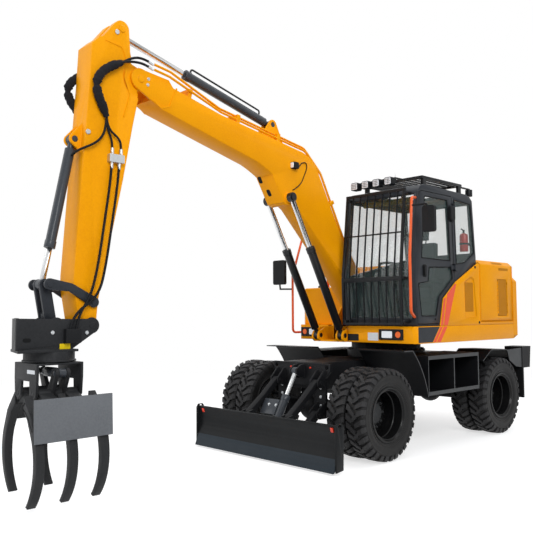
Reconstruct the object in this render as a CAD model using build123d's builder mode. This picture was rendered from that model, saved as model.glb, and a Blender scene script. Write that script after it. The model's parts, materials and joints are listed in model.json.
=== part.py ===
"""A wheeled excavator with a two-jaw timber grab and a front dozer blade.

Millimetres, +X forward, +Y to the machine's left (the cab side), +Z up.
Stations along the machine are given from the middle between the axles, as a drawing gives them.
The planes below carry them to the model's own origin, on the ground under the middle of the whole.
"""

import os
from math import hypot

from build123d import *

os.makedirs("parts", exist_ok=True)

# Datum: the middle between the axles, seen from the middle of the parked machine
axle_middle_x = -1492.0

# Fits
pin_play = 0.1
seat_gap = 0.3
slide_play = 0.5
side_play = 5.0

# Wheels
wheelbase = 2620.0
tyre_radius = 525.0
tyre_width = 250.0
tyre_face_y = 1179.0
twin_gap = 25.0
bead_radius = 285.0
flange_radius = 311.0
bead_width = 205.0
rim_wall = 13.0
flange_wall = 10.0
hub_radius = 140.0
hub_reach = 60.0
spindle_radius = 60.0
spindle_end_y = 893.0

# Axles
axle_width = 160.0
axle_height = 180.0
differential_radius = 175.0
kingpin_y = 640.0
kingpin_radius = 25.0
knuckle_radius = 62.0
knuckle_height = 190.0
yoke_wall = 30.0
prop_shaft_radius = 38.0
coupling_radius = 70.0
gearbox = {"x_low": -640.0, "x_high": -240.0, "half_width": 180.0, "bottom": 440.0}

# Undercarriage frame
frame_half_width = 330.0
frame_bottom = 640.0
frame_arch = 715.0
frame_nose_bottom = 760.0
frame_top = 1080.0
frame_rear_x = -1760.0
frame_front_x = 1490.0
front_plate_wall = 40.0
front_plate_half_width = 476.0
front_leg_half_width = 400.0
front_leg_inner = 210.0
front_leg_bottom = 430.0
lashing_hole = {"y": 422.0, "z": 1028.0, "radius": 26.0}
slew_x = -220.0
turret_radius = 540.0
turret_top = 1180.0
slew_ring_radius = 480.0
platform_bottom = 1310.0
cross_member_stations = (-520.0, 380.0)

# Side boxes and wheel covers
box_rear_x = -700.0
box_front_x = 505.0
box_bottom = 670.0
box_top = 1150.0
box_inner_y = 640.0
box_outer_y = 1165.0
box_wall = 12.0
box_rail = 46.0
box_divider_x = -85.0
cover_front_x = 1000.0
cover_bend_x = 820.0
cover_top = 1232.0
cover_wall = 12.0
cover_inner_y = 345.0
rear_cover_points = ((-815.0, 1029.0), (-1049.0, 1172.0), (-1475.0, 1160.0), (-1691.0, 1044.0))
lamp_box = {"x_low": -2200.0, "x_high": -1930.0, "y_low": 905.0, "bottom": 870.0, "top": 1178.0}
flap = {"x_low": -1965.0, "wall": 30.0, "y_low": 930.0, "bottom": 440.0}

# Blade linkage
blade_half_width = 1172.0
blade_front_x = 2232.0
blade_bottom = 23.0
blade_top = 508.0
blade_wall = 28.0
blade_bow = 52.0
blade_lip_reach = 50.0
blade_lip_top = 165.0
blade_end_wall = 20.0
blade_end_hole = {"x": 2185.0, "z": 497.0, "radius": 25.0}
link_y = 335.0
link_width = 80.0
link_pin_radius = 22.0
ear_wall = 25.0
upper_link_pin = (1620.0, 850.0)
lower_arm_pin = (1640.0, 480.0)
link_reach = (470.0, -370.0)
blade_eye_pin = (1620.0, 975.0)
blade_foot_pin = (2040.0, 260.0)

# Platform
platform_top = 1515.0
platform_side_y = 1245.0
platform_front_x = 862.0
platform_right_front_x = 400.0
platform_rear_x = -1560.0
platform_deck_wall = 20.0
platform_skirt = 16.0
lamp_cluster = {"width": 350.0, "depth": 24.0, "recess": 14.0, "bottom": 1352.0, "top": 1480.0}
lamp_clusters = ((platform_front_x, 1060.0, 1), (platform_right_front_x, -1040.0, -1))
spine_left_y = 205.0
spine_right_y = -350.0
spine_front_x = 640.0
deck_rib_stations = (-1060.0, -560.0, -60.0)
deck_rib_wall = 14.0

# Boom mounting
boom_y = -80.0
boom_half_width = 145.0
boom_foot = (300.0, 1720.0)
tower_wall = 30.0
boom_pin_radius = 45.0
ram_foot = (890.0, 1390.0)
ram_eye = (1800.0, 3090.0)
ram_eye_width = 60.0
ram_pin_radius = 30.0
pin_head = 10.0

# Cab
cab_inner_y = 125.0
cab_outer_y = 1220.0
cab_wall = 40.0
cab_outline = ((800.0, 1515.0), (862.0, 2080.0), (737.0, 3125.0), (716.0, 3190.0), (672.0, 3232.0),
               (600.0, 3252.0), (-380.0, 3236.0), (-470.0, 3216.0), (-535.0, 3165.0), (-600.0, 2400.0),
               (-600.0, 1515.0))
cab_roof_corners = (6, 5)
cab_rear_corners = (9, 8)
door_outline = ((782.0, 1545.0), (842.0, 2080.0), (722.0, 3100.0), (700.0, 3145.0), (665.0, 3160.0),
                (-5.0, 3160.0), (-40.0, 2085.0), (262.0, 1862.0), (345.0, 1545.0))
door_gap = 6.0
upper_window = ((690.0, 2343.0), (600.0, 3105.0), (90.0, 3105.0), (46.0, 2334.0))
lower_window = ((532.0, 2235.0), (9.0, 2257.0), (-4.0, 2110.0), (320.0, 1880.0),
                (395.0, 1640.0), (712.0, 1640.0), (765.0, 2030.0), (560.0, 2060.0))
quarter_window = ((-75.0, 3130.0), (-480.0, 3110.0), (-545.0, 2469.0), (-300.0, 2330.0), (-100.0, 2300.0))
glass_wall = 8.0
hinge_x = -25.0
hinge_y = 1246.0
hinge_heights = (2250.0, 3020.0)
hinge_pin_radius = 9.0
hinge_radius = 18.0
hinge_length = 60.0

right_window = ((790.0, 2150.0), (690.0, 3110.0), (-480.0, 3110.0), (-550.0, 2440.0))
window_low_y = 190.0
window_high_y = 1155.0
front_window = {"bottom": 1620.0, "top": 3120.0}
rear_window = {"bottom": 2470.0, "top": 3110.0}
roof_window = {"x_low": -250.0, "x_high": 430.0}

# Guards and rails
guard_side_y = (190.0, 1110.0)
guard_outline = ((840.0, 3195.0), (960.0, 2090.0), (946.0, 1530.0))
guard_depth = 26.0
guard_bar_count = 7
guard_bar_wall = 10.0
guard_post_wall = 36.0
guard_cross_bars = ((3160.0, 35.0), (2645.0, 16.0), (2065.0, 55.0), (1530.0, 30.0))
roof_guard = {"x_low": -470.0, "x_high": 470.0, "bottom": 3360.0, "top": 3396.0, "bar": 36.0}
roof_slat_count = 9
lamp_stations_y = (321.0, 494.0, 666.0, 849.0)
lamp_x = (745.0, 835.0)
lamp_z = (3262.0, 3362.0)
lamp_half_width = 55.0
beacon = {"x": -700.0, "radius": 48.0, "bottom": 3262.0, "top": 3352.0}
rail_radius = 17.0
rail_bend = 55.0
right_rail = ((240.0, -1225.0, 1400.0), (400.0, -1225.0, 1400.0), (400.0, -1225.0, 2235.0),
              (150.0, -1225.0, 2900.0), (-250.0, -1225.0, 2900.0), (-420.0, -1225.0, 2053.7))
left_rail = ((758.0, 1195.0, 3070.0), (915.0, 1250.0, 3050.0), (976.0, 1250.0, 2350.0),
             (972.0, 1250.0, 1690.0), (822.0, 1195.0, 1630.0))
mirror_corner = 28.0
mirrors = (
    {"centre": (880.0, 1462.0, 2774.0), "depth": 45.0, "width": 165.0, "height": 310.0,
     "arm": ((925.0, 1250.0, 2950.0), (905.0, 1440.0, 2950.0), (885.0, 1455.0, 2900.0))},
    {"centre": (550.0, -1345.0, 2287.0), "depth": 45.0, "width": 240.0, "height": 362.0,
     "arm": ((400.0, -1225.0, 2040.0), (545.0, -1340.0, 2040.0), (550.0, -1345.0, 2120.0))},
)

# Bodywork
hood_front_x = -612.0
hood_top = 2385.0
hood_wall = 15.0
tank_top = 2050.0
tank_front_x = 300.0
side_recess = ((-252.0, 1606.0), (-252.0, 2070.0), (-418.0, 2140.0), (-490.0, 2110.0), (-540.0, 1620.0))
side_recess_depth = 14.0
engine_door = {"x_low": -1535.0, "x_high": -640.0, "bottom": 1560.0, "top": 2330.0}
seam_width = 5.0
seam_depth = 6.0
grille = {"x_low": -1375.0, "x_high": -1120.0, "bottom": 1634.0, "top": 2135.0}
grille_slat_count = 9
weight_top = 2214.0
weight_rear_x = -2150.0
weight_side_x = -1715.0
weight_corner = 45.0
weight_corner_y = platform_side_y - 50.0
weight_edges_x = 0.8 * platform_rear_x + 0.2 * weight_side_x
weight_bevel = 95.0
engine = {"x_low": -1480.0, "x_high": -760.0, "half_width": 380.0, "top": 2230.0}

# Boom
arm_pin = (3926.0, 4070.0)
boom_foot_radius = 130.0
boom_tip_radius = 112.0
fork_half_width = 122.0
fork_radius = 222.0
arm_pin_radius = 38.0

# Arm
arm_half_width = 138.0
arm_boss_half_width = 117.0
arm_boss_radius = 104.0
arm_pocket_radius = 205.0
lever_slot_radius = 200.0
arm_ram_foot = (1970.0, 3985.0)
arm_ram_eye = (4149.0, 4532.0)
tool_pin = (4460.0, 1578.0)
tool_pin_radius = 30.0
idler_pin = (4440.0, 1795.0)
tool_ram_foot = (4605.0, 3350.0)
lug_wall = 26.0
eye_width = 66.0

# Tool linkage
knee_pin = (4885.0, 1955.0)
bracket_pin = (4815.0, 1585.0)
idler_half_width = 170.0
idler_wall = 25.0
push_half_width = 72.0
bracket_half_width = 172.0
bracket_wall = 25.0
bracket_front_x = 5190.0
bracket_far_x = 5080.0
bracket_rear_x = 4440.0
bracket_top = 1647.0
rotator_ahead = 340.0
rotator_x = tool_pin[0] + rotator_ahead
bracket_base_back = 180.0
rotator_radius = 228.0
rotator_bolt_ring = 12.0
spigot_radius = 80.0
rotator_bottom = 1256.0
rotator_top = 1345.0
bracket_base_top = 1368.0

# Grab
grab_top = 1250.0
grab_half = 225.0
grab_plate_wall = 18.0
grab_leg_wall = 24.0
jaw_pivot = (150.0, 975.0)
jaw_pivot_radius = 24.0
jaw_tube_radius = 46.0
jaw_eye = (240.0, 1160.0)
jaw_lever_half_width = 70.0
jaw_plate = {"half_width": 372.0, "top": (476.0, 975.0), "bottom": (492.0, 610.0), "wall": 16.0}
jaw_beam = ((222.0, 884.0), (270.0, 935.0), (360.0, 850.0), (435.0, 715.0), (412.0, 700.0), (325.0, 815.0))
jaw_arm = ((115.0, 950.0), (135.0, 1015.0), (275.0, 950.0), (330.0, 850.0), (215.0, 875.0))
jaw_tube_reach = 190.0
jaw_gusset_wall = 20.0
jaw_gusset = ((330.0, 845.0), (478.0, 955.0), (494.0, 630.0), (455.0, 600.0))
tine_back = ((238.0, 985.0), (400.0, 800.0), (478.0, 610.0))
tine_bulge = (503.0, 420.0)
tine_tip = ((340.0, 52.0), (302.0, 66.0))
tine_hollow = (433.0, 425.0)
tine_root = ((395.0, 620.0), (305.0, 790.0), (228.0, 868.0))
tine_wall = 76.0
grab_barrel_radius = 45.0
grab_rod_radius = 25.0
grab_barrel_length = 290.0

# Cylinders, each from its foot eye: sizes along the barrel and round it
gland_step = 5.0
gland_length = 70.0
blade_ram = {"radius": 48.0, "rod": 26.0, "length": 500.0, "neck": 76.0, "eye_radius": 46.0,
             "eye_width": eye_width, "overlap": 210.0}
boom_ram = {"radius": 52.0, "rod": 33.0, "length": 1255.0, "neck": 105.0, "eye_radius": 58.0,
            "eye_width": ram_eye_width, "overlap": 450.0}
arm_ram = {"radius": 52.0, "rod": 31.0, "length": 1340.0, "neck": 100.0, "eye_radius": 55.0,
           "eye_width": eye_width, "overlap": 420.0}
tool_ram = {"radius": 48.0, "rod": 28.0, "length": 1075.0, "neck": 95.0, "eye_radius": 50.0,
            "eye_width": eye_width, "overlap": 330.0}

# Places worked out from the sizes above
front_axle_x = wheelbase / 2
rear_axle_x = -wheelbase / 2
inner_tyre_y = tyre_face_y - 1.5 * tyre_width - twin_gap
outer_tyre_y = tyre_face_y - 0.5 * tyre_width
upper_blade_pin = (upper_link_pin[0] + link_reach[0], upper_link_pin[1] + link_reach[1])
lower_blade_pin = (lower_arm_pin[0] + link_reach[0], lower_arm_pin[1] + link_reach[1])
blade_lip_x = blade_front_x + blade_lip_reach
blade_back_x = blade_front_x - blade_bow - blade_wall + 4
ram_offset = boom_half_width + side_play + boom_ram["radius"] + gland_step
ram_stations_y = (boom_y + ram_offset, boom_y - ram_offset)


def side(y=0.0):
    """Sketch plane across the machine: its axes are the station x and the height z."""
    return Plane(origin=(axle_middle_x, y, 0), x_dir=(1, 0, 0), z_dir=(0, -1, 0))


def level(z=0.0):
    """Sketch plane at a height: its axes are the station x and y."""
    return Plane(origin=(axle_middle_x, 0, z), x_dir=(1, 0, 0), z_dir=(0, 0, 1))


def station(x=0.0):
    """Sketch plane at a station: its axes are y and the height z."""
    return Plane(origin=(axle_middle_x + x, 0, 0), x_dir=(0, 1, 0), z_dir=(1, 0, 0))


def block(x_low, x_high, y_low, y_high, z_low, z_high, mode=Mode.ADD):
    """Add or cut a box between two corners."""
    with Locations((axle_middle_x + x_low, y_low, z_low)):
        Box(x_high - x_low, y_high - y_low, z_high - z_low, align=(Align.MIN, Align.MIN, Align.MIN), mode=mode)


def side_plate(points, y_low, y_high, mode=Mode.ADD):
    """Add or cut a plate whose outline lies in the side view."""
    with BuildSketch(side(y_high)) as outline:
        Polygon(*points, align=None)
    extrude(outline.sketch, amount=y_high - y_low, mode=mode)


def level_plate(points, z_low, z_high, mode=Mode.ADD):
    """Add or cut a plate whose outline lies in the plan view."""
    with BuildSketch(level(z_low)) as outline:
        Polygon(*points, align=None)
    extrude(outline.sketch, amount=z_high - z_low, mode=mode)


def station_plate(points, x_low, x_high, mode=Mode.ADD):
    """Add or cut a plate whose outline lies in the front view."""
    with BuildSketch(station(x_low)) as outline:
        Polygon(*points, align=None)
    extrude(outline.sketch, amount=x_high - x_low, mode=mode)


def side_disc(centre, radius, y_low, y_high, mode=Mode.ADD):
    """Add or cut a round bar that lies across the machine."""
    with BuildSketch(side(y_high)) as outline:
        with Locations(centre):
            Circle(radius)
    extrude(outline.sketch, amount=y_high - y_low, mode=mode)


def long_disc(centre, radius, x_low, x_high, mode=Mode.ADD):
    """Add or cut a round bar that lies along the machine."""
    with BuildSketch(station(x_low)) as outline:
        with Locations(centre):
            Circle(radius)
    extrude(outline.sketch, amount=x_high - x_low, mode=mode)


def upright_disc(centre, radius, z_low, z_high, mode=Mode.ADD):
    """Add or cut an upright round bar."""
    with BuildSketch(level(z_low)) as outline:
        with Locations(centre):
            Circle(radius)
    extrude(outline.sketch, amount=z_high - z_low, mode=mode)


def side_link(ends, y_low, y_high):
    """Add a link plate wrapped round discs, each given as its centre and radius."""
    with BuildSketch(side(y_high)) as outline:
        for centre, radius in ends:
            with Locations(centre):
                Circle(radius)
        make_hull()
    extrude(outline.sketch, amount=y_high - y_low)


def along(start, end, distance):
    """Return the point at a distance from start towards end, in the side view."""
    span = hypot(end[0] - start[0], end[1] - start[1])
    return (start[0] + (end[0] - start[0]) * distance / span, start[1] + (end[1] - start[1]) * distance / span)


def axis_plane(start, end, y, distance=0.0):
    """Sketch plane across the line from start to end, at a distance along it."""
    point = along(start, end, distance)
    return Plane(origin=(axle_middle_x + point[0], y, point[1]), x_dir=(0, 1, 0),
                 z_dir=(end[0] - start[0], 0, end[1] - start[1]))


def round_bar(start, end, y, radius, near, far, mode=Mode.ADD):
    """Add or cut a round bar on the line from start to end, between two distances along it."""
    with BuildSketch(axis_plane(start, end, y, near)) as outline:
        Circle(radius)
    extrude(outline.sketch, amount=far - near, mode=mode)


def ram_barrel(foot, eye, y, sizes):
    """Add a cylinder's barrel with its foot eye, neck, gland and bore."""
    round_bar(foot, eye, y, sizes["radius"], sizes["neck"], sizes["length"])
    round_bar(foot, eye, y, sizes["radius"] + gland_step, sizes["length"] - gland_length, sizes["length"])
    round_bar(foot, eye, y, 0.45 * sizes["eye_width"], 0, sizes["neck"] + 5)
    side_disc(foot, sizes["eye_radius"], y - sizes["eye_width"] / 2, y + sizes["eye_width"] / 2)
    round_bar(foot, eye, y, sizes["rod"] + slide_play, sizes["neck"] + 25, sizes["length"] + 1, Mode.SUBTRACT)


def ram_rod(foot, eye, y, sizes):
    """Add a cylinder's rod with its eye, reaching into the barrel."""
    span = hypot(eye[0] - foot[0], eye[1] - foot[1])
    round_bar(foot, eye, y, sizes["rod"], sizes["length"] - sizes["overlap"], span)
    side_disc(eye, sizes["eye_radius"], y - sizes["eye_width"] / 2, y + sizes["eye_width"] / 2)


def cab_front_x(z):
    """Return the point of the cab's front edge at a height."""
    foot, bend, top = cab_outline[0], cab_outline[1], cab_outline[2]
    start, end = (foot, bend) if z <= bend[1] else (bend, top)
    return (start[0] + (end[0] - start[0]) * (z - start[1]) / (end[1] - start[1]), z)


def cab_rear_x(z):
    """Return the point of the cab's upper rear edge at a height."""
    start, end = (cab_outline[corner] for corner in cab_rear_corners)
    return (start[0] + (end[0] - start[0]) * (z - start[1]) / (end[1] - start[1]), z)


def cab_roof_z(x):
    """Return the height of the cab's roof at a station."""
    start, end = (cab_outline[corner] for corner in cab_roof_corners)
    return start[1] + (end[1] - start[1]) * (x - start[0]) / (end[0] - start[0])


def finish(part, name):
    """Label a finished piece and write it."""
    part.label = name
    export_step(part, f"parts/{name}.step")


# Undercarriage frame
with BuildPart() as frame:
    side_plate(((frame_rear_x, 780), (frame_rear_x, 1030), (frame_rear_x + 50, frame_top), (frame_front_x, frame_top),
                (frame_front_x, frame_nose_bottom), (1010, frame_nose_bottom), (910, frame_bottom),
                (-1040, frame_bottom), (-1090, frame_arch), (-1520, frame_arch)), -frame_half_width, frame_half_width)
    upright_disc((slew_x, 0), turret_radius, frame_top, turret_top)
    upright_disc((slew_x, 0), slew_ring_radius, turret_top, platform_bottom - seat_gap)
    station_plate(((-front_plate_half_width, 1076), (front_plate_half_width, 1076), (front_plate_half_width, 985),
                   (front_leg_half_width, 900), (front_leg_half_width, front_leg_bottom),
                   (front_leg_inner, front_leg_bottom), (front_leg_inner, 800), (-front_leg_inner, 800),
                   (-front_leg_inner, front_leg_bottom), (-front_leg_half_width, front_leg_bottom),
                   (-front_leg_half_width, 900), (-front_plate_half_width, 985)),
                  frame_front_x, frame_front_x + front_plate_wall)
    ear_root = frame_front_x + front_plate_wall - 2
    for y_middle in (link_y, -link_y):
        long_disc((lashing_hole["y"] * (1 if y_middle > 0 else -1), lashing_hole["z"]), lashing_hole["radius"],
                  frame_front_x - 1, ear_root + 4, Mode.SUBTRACT)
        for inner in (-link_width / 2 - side_play - ear_wall, link_width / 2 + side_play):
            low = y_middle + inner
            side_plate(((ear_root, 1000), (1560, 990), (1668, 880), (1668, 815), (1620, 792), (ear_root, 780)),
                       low, low + ear_wall)
            side_plate(((ear_root, 620), (1600, 585), (1690, 515), (1690, 450), (1640, 430), (ear_root, 430)),
                       low, low + ear_wall)
        for pin in (upper_link_pin, lower_arm_pin):
            side_disc(pin, link_pin_radius + pin_play, y_middle - 80, y_middle + 80, Mode.SUBTRACT)
    for low in (-eye_width / 2 - side_play - ear_wall, eye_width / 2 + side_play):
        side_plate(((ear_root, 1060), (1600, 1050), (1672, 1000), (1672, 945), (1620, 915), (ear_root, 880)),
                   low, low + ear_wall)
    for x_middle in cross_member_stations:
        for y_low in (-box_inner_y + seat_gap, frame_half_width - 2):
            block(x_middle - 60, x_middle + 60, y_low, y_low + box_inner_y - seat_gap - frame_half_width + 2,
                  720, frame_top)
    for y_low in (-cover_inner_y + seat_gap, frame_half_width - 2):
        block(700, 900, y_low, y_low + cover_inner_y - seat_gap - frame_half_width + 2, 900, frame_top)
finish(frame.part, "chassis_frame")

# Axles, gearbox and propeller shafts
with BuildPart() as axles:
    for x_axle in (front_axle_x, rear_axle_x):
        steered = x_axle > 0
        beam_end = kingpin_y - knuckle_radius - 10 if steered else 760.0
        with BuildSketch(Plane(origin=(axle_middle_x + x_axle, -beam_end, tyre_radius), x_dir=(1, 0, 0),
                               z_dir=(0, 1, 0))) as section:
            RectangleRounded(axle_width, axle_height, 35)
        extrude(section.sketch, amount=2 * beam_end)
        with Locations((axle_middle_x + x_axle, 0, tyre_radius)):
            Sphere(differential_radius)
        input_side = -1 if steered else 1
        inner, outer = sorted((x_axle + input_side * 120, x_axle + input_side * 215))
        long_disc((0, tyre_radius), coupling_radius, inner, outer)
        if steered:
            block(x_axle - 90, x_axle + 90, -120, 120, tyre_radius + 60, frame_nose_bottom)
            for y_sign in (1, -1):
                for z_sign in (1, -1):
                    z_arm = tyre_radius + z_sign * (knuckle_height / 2 + side_play + yoke_wall / 2)
                    y_low, y_high = sorted((y_sign * (beam_end - 40), y_sign * (kingpin_y + 50)))
                    block(x_axle - 65, x_axle + 65, y_low, y_high, z_arm - yoke_wall / 2, z_arm + yoke_wall / 2)
                    upright_disc((x_axle, y_sign * kingpin_y), kingpin_radius + pin_play, z_arm - yoke_wall,
                                 z_arm + yoke_wall, Mode.SUBTRACT)
                y_low, y_high = sorted((y_sign * (beam_end - 40), y_sign * beam_end))
                half = knuckle_height / 2 + side_play + yoke_wall
                block(x_axle - 65, x_axle + 65, y_low, y_high, tyre_radius - half, tyre_radius + half)
        else:
            for y_low in (-frame_half_width + 20, frame_half_width - 140):
                block(x_axle - 110, x_axle + 110, y_low, y_low + 120, tyre_radius + 60, frame_arch)
            side_disc((x_axle, tyre_radius), spindle_radius, -spindle_end_y, spindle_end_y)
finish(axles.part, "axles")

with BuildPart() as drive_line:
    block(gearbox["x_low"], gearbox["x_high"], -gearbox["half_width"], gearbox["half_width"],
          gearbox["bottom"], frame_bottom)
    fillet(drive_line.edges().group_by(Axis.Z)[0], 40)
    front_coupling_x = front_axle_x - 215
    rear_coupling_x = rear_axle_x + 215
    long_disc((0, tyre_radius), prop_shaft_radius, rear_coupling_x + seat_gap, front_coupling_x - seat_gap)
    long_disc((0, tyre_radius), coupling_radius, front_coupling_x - 30, front_coupling_x - seat_gap)
    long_disc((0, tyre_radius), coupling_radius, rear_coupling_x + seat_gap, rear_coupling_x + 30)
finish(drive_line.part, "drive_line")

# Open side boxes, one each side
with BuildPart() as side_boxes:
    for y_sign in (1, -1):
        y_low, y_high = sorted((y_sign * box_inner_y, y_sign * box_outer_y))
        block(box_rear_x, box_front_x, y_low, y_high, box_bottom, box_top)
        y_low, y_high = sorted((y_sign * (box_inner_y + box_wall), y_sign * (box_outer_y + 1)))
        for x_low, x_high in ((box_rear_x + 26, box_divider_x - 10), (box_divider_x + 10, box_front_x - box_wall)):
            block(x_low, x_high, y_low, y_high - 20 if y_sign > 0 else y_high, box_bottom + box_wall,
                  box_top - box_wall, Mode.SUBTRACT)
            block(x_low, x_high, y_low, y_high, box_bottom + box_rail, box_top - box_rail, Mode.SUBTRACT)
finish(side_boxes.part, "side_boxes")

# Wheel covers in front of the boxes and over the rear wheels, with the rear lamp boxes
with BuildPart() as covers:
    for y_sign in (1, -1):
        y_low, y_high = sorted((y_sign * cover_inner_y, y_sign * box_outer_y))
        with BuildSketch(side(y_high)) as curve:
            with BuildLine():
                outer_start = (cover_bend_x, cover_top)
                outer_end = (box_front_x + seat_gap, box_bottom - 12)
                outer = ThreePointArc(outer_start, (632, 985), outer_end)
                foot = Line(outer_end, (box_front_x + cover_wall, box_bottom - 12))
                inner = ThreePointArc((box_front_x + cover_wall, box_bottom - 12), (644, 978),
                                      (cover_bend_x + 8, cover_top - cover_wall))
                Polyline((cover_bend_x + 8, cover_top - cover_wall), (cover_front_x, cover_top - cover_wall),
                         (cover_front_x, cover_top), outer_start)
            make_face()
        extrude(curve.sketch, amount=y_high - y_low)
        y_low, y_high = sorted((y_sign * (box_inner_y + 20), y_sign * box_outer_y))
        lowered = [(x, z - cover_wall) for x, z in reversed(rear_cover_points)]
        side_plate([*rear_cover_points, *lowered], y_low, y_high)
        x_low, x_high = lamp_box["x_low"], lamp_box["x_high"]
        y_low, y_high = sorted((y_sign * (box_outer_y - 14), y_sign * box_outer_y))
        side_plate(((-1500, 1150), (-1560, 1000), (frame_rear_x, 900), (x_high - 2, 880), (x_high - 2, 1160)),
                   y_low, y_high)
        y_low, y_high = sorted((y_sign * lamp_box["y_low"], y_sign * (box_outer_y + 12)))
        side_plate(((x_low + 40, lamp_box["bottom"]), (x_high, lamp_box["bottom"]), (x_high, lamp_box["top"]),
                    (x_low, lamp_box["top"])), y_low, y_high)
        y_low, y_high = sorted((y_sign * flap["y_low"], y_sign * (box_outer_y + 12)))
        block(flap["x_low"], flap["x_low"] + flap["wall"], y_low, y_high, flap["bottom"], lamp_box["bottom"] + 2)
    block(frame_rear_x - seat_gap - cover_wall, frame_rear_x - seat_gap, -box_outer_y, box_outer_y, 905, 1040)
finish(covers.part, "wheel_covers")

# Steering knuckles with their spindles
for name, y_sign in (("knuckle_left", 1), ("knuckle_right", -1)):
    with BuildPart() as knuckle:
        upright_disc((front_axle_x, y_sign * kingpin_y), knuckle_radius, tyre_radius - knuckle_height / 2,
                     tyre_radius + knuckle_height / 2)
        half = knuckle_height / 2 + side_play + yoke_wall
        upright_disc((front_axle_x, y_sign * kingpin_y), kingpin_radius, tyre_radius - half, tyre_radius + half)
        y_low, y_high = sorted((y_sign * kingpin_y, y_sign * spindle_end_y))
        side_disc((front_axle_x, tyre_radius), spindle_radius, y_low, y_high)
        y_low, y_high = sorted((y_sign * (kingpin_y + 70), y_sign * (kingpin_y + 90)))
        side_disc((front_axle_x, tyre_radius), 92, y_low, y_high)
    finish(knuckle.part, name)

# Twin tyres and their rims, one body at each wheel
wheels = (("front_left", front_axle_x, 1), ("front_right", front_axle_x, -1),
          ("rear_left", rear_axle_x, 1), ("rear_right", rear_axle_x, -1))
for name, x_axle, y_sign in wheels:
    wheel_plane = Plane(origin=(axle_middle_x + x_axle, 0, tyre_radius), x_dir=(1, 0, 0), z_dir=(0, 0, 1))
    with BuildPart() as tyres:
        for y_middle in (inner_tyre_y, outer_tyre_y):
            with BuildSketch(wheel_plane) as section:
                with BuildLine():
                    middle = y_sign * y_middle
                    bead = bead_width / 2 - seat_gap
                    Polyline((bead_radius, middle + bead), (bead_radius, middle - bead),
                             (flange_radius + 1, middle - bead), (flange_radius + 12, middle - bead - 14))
                    ThreePointArc((flange_radius + 12, middle - bead - 14), (405, middle - tyre_width / 2),
                                  (495, middle - tyre_width / 2 + 9))
                    ThreePointArc((495, middle - tyre_width / 2 + 9), (tyre_radius - 7, middle - 94),
                                  (tyre_radius, middle - 70))
                    Line((tyre_radius, middle - 70), (tyre_radius, middle + 70))
                    ThreePointArc((tyre_radius, middle + 70), (tyre_radius - 7, middle + 94),
                                  (495, middle + tyre_width / 2 - 9))
                    ThreePointArc((495, middle + tyre_width / 2 - 9), (405, middle + tyre_width / 2),
                                  (flange_radius + 12, middle + bead + 14))
                    Polyline((flange_radius + 12, middle + bead + 14), (flange_radius + 1, middle + bead),
                             (bead_radius, middle + bead))
                make_face()
            revolve(section.sketch, axis=Axis(wheel_plane.origin, (0, 1, 0)))
    finish(tyres.part, f"tyres_{name}")
    with BuildPart() as rims:
        barrel_inner = bead_radius - seat_gap - rim_wall
        bead = bead_width / 2
        inner_low, inner_high = inner_tyre_y - bead, inner_tyre_y + bead
        outer_low, outer_high = outer_tyre_y - bead, outer_tyre_y + bead
        rings = (
            (barrel_inner, bead_radius - seat_gap, inner_low - flange_wall, outer_high + flange_wall),
            (barrel_inner, flange_radius, inner_low - flange_wall, inner_low),
            (barrel_inner, flange_radius, inner_high, inner_high + flange_wall),
            (barrel_inner, flange_radius, outer_low - flange_wall, outer_low),
            (barrel_inner, flange_radius, outer_high, outer_high + flange_wall),
            (0, barrel_inner + 2, spindle_end_y + 2, spindle_end_y + 16),
            (spindle_radius + pin_play, hub_radius, kingpin_y + 130, spindle_end_y + 4),
            (0, hub_radius, spindle_end_y + 10, spindle_end_y + 16 + hub_reach),
        )
        for radius_low, radius_high, y_low, y_high in rings:
            with BuildSketch(wheel_plane) as section:
                with Locations(((radius_low + radius_high) / 2, y_sign * (y_low + y_high) / 2)):
                    Rectangle(radius_high - radius_low, y_high - y_low)
            revolve(section.sketch, axis=Axis(wheel_plane.origin, (0, 1, 0)))
    finish(rims.part, f"rims_{name}")

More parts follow.
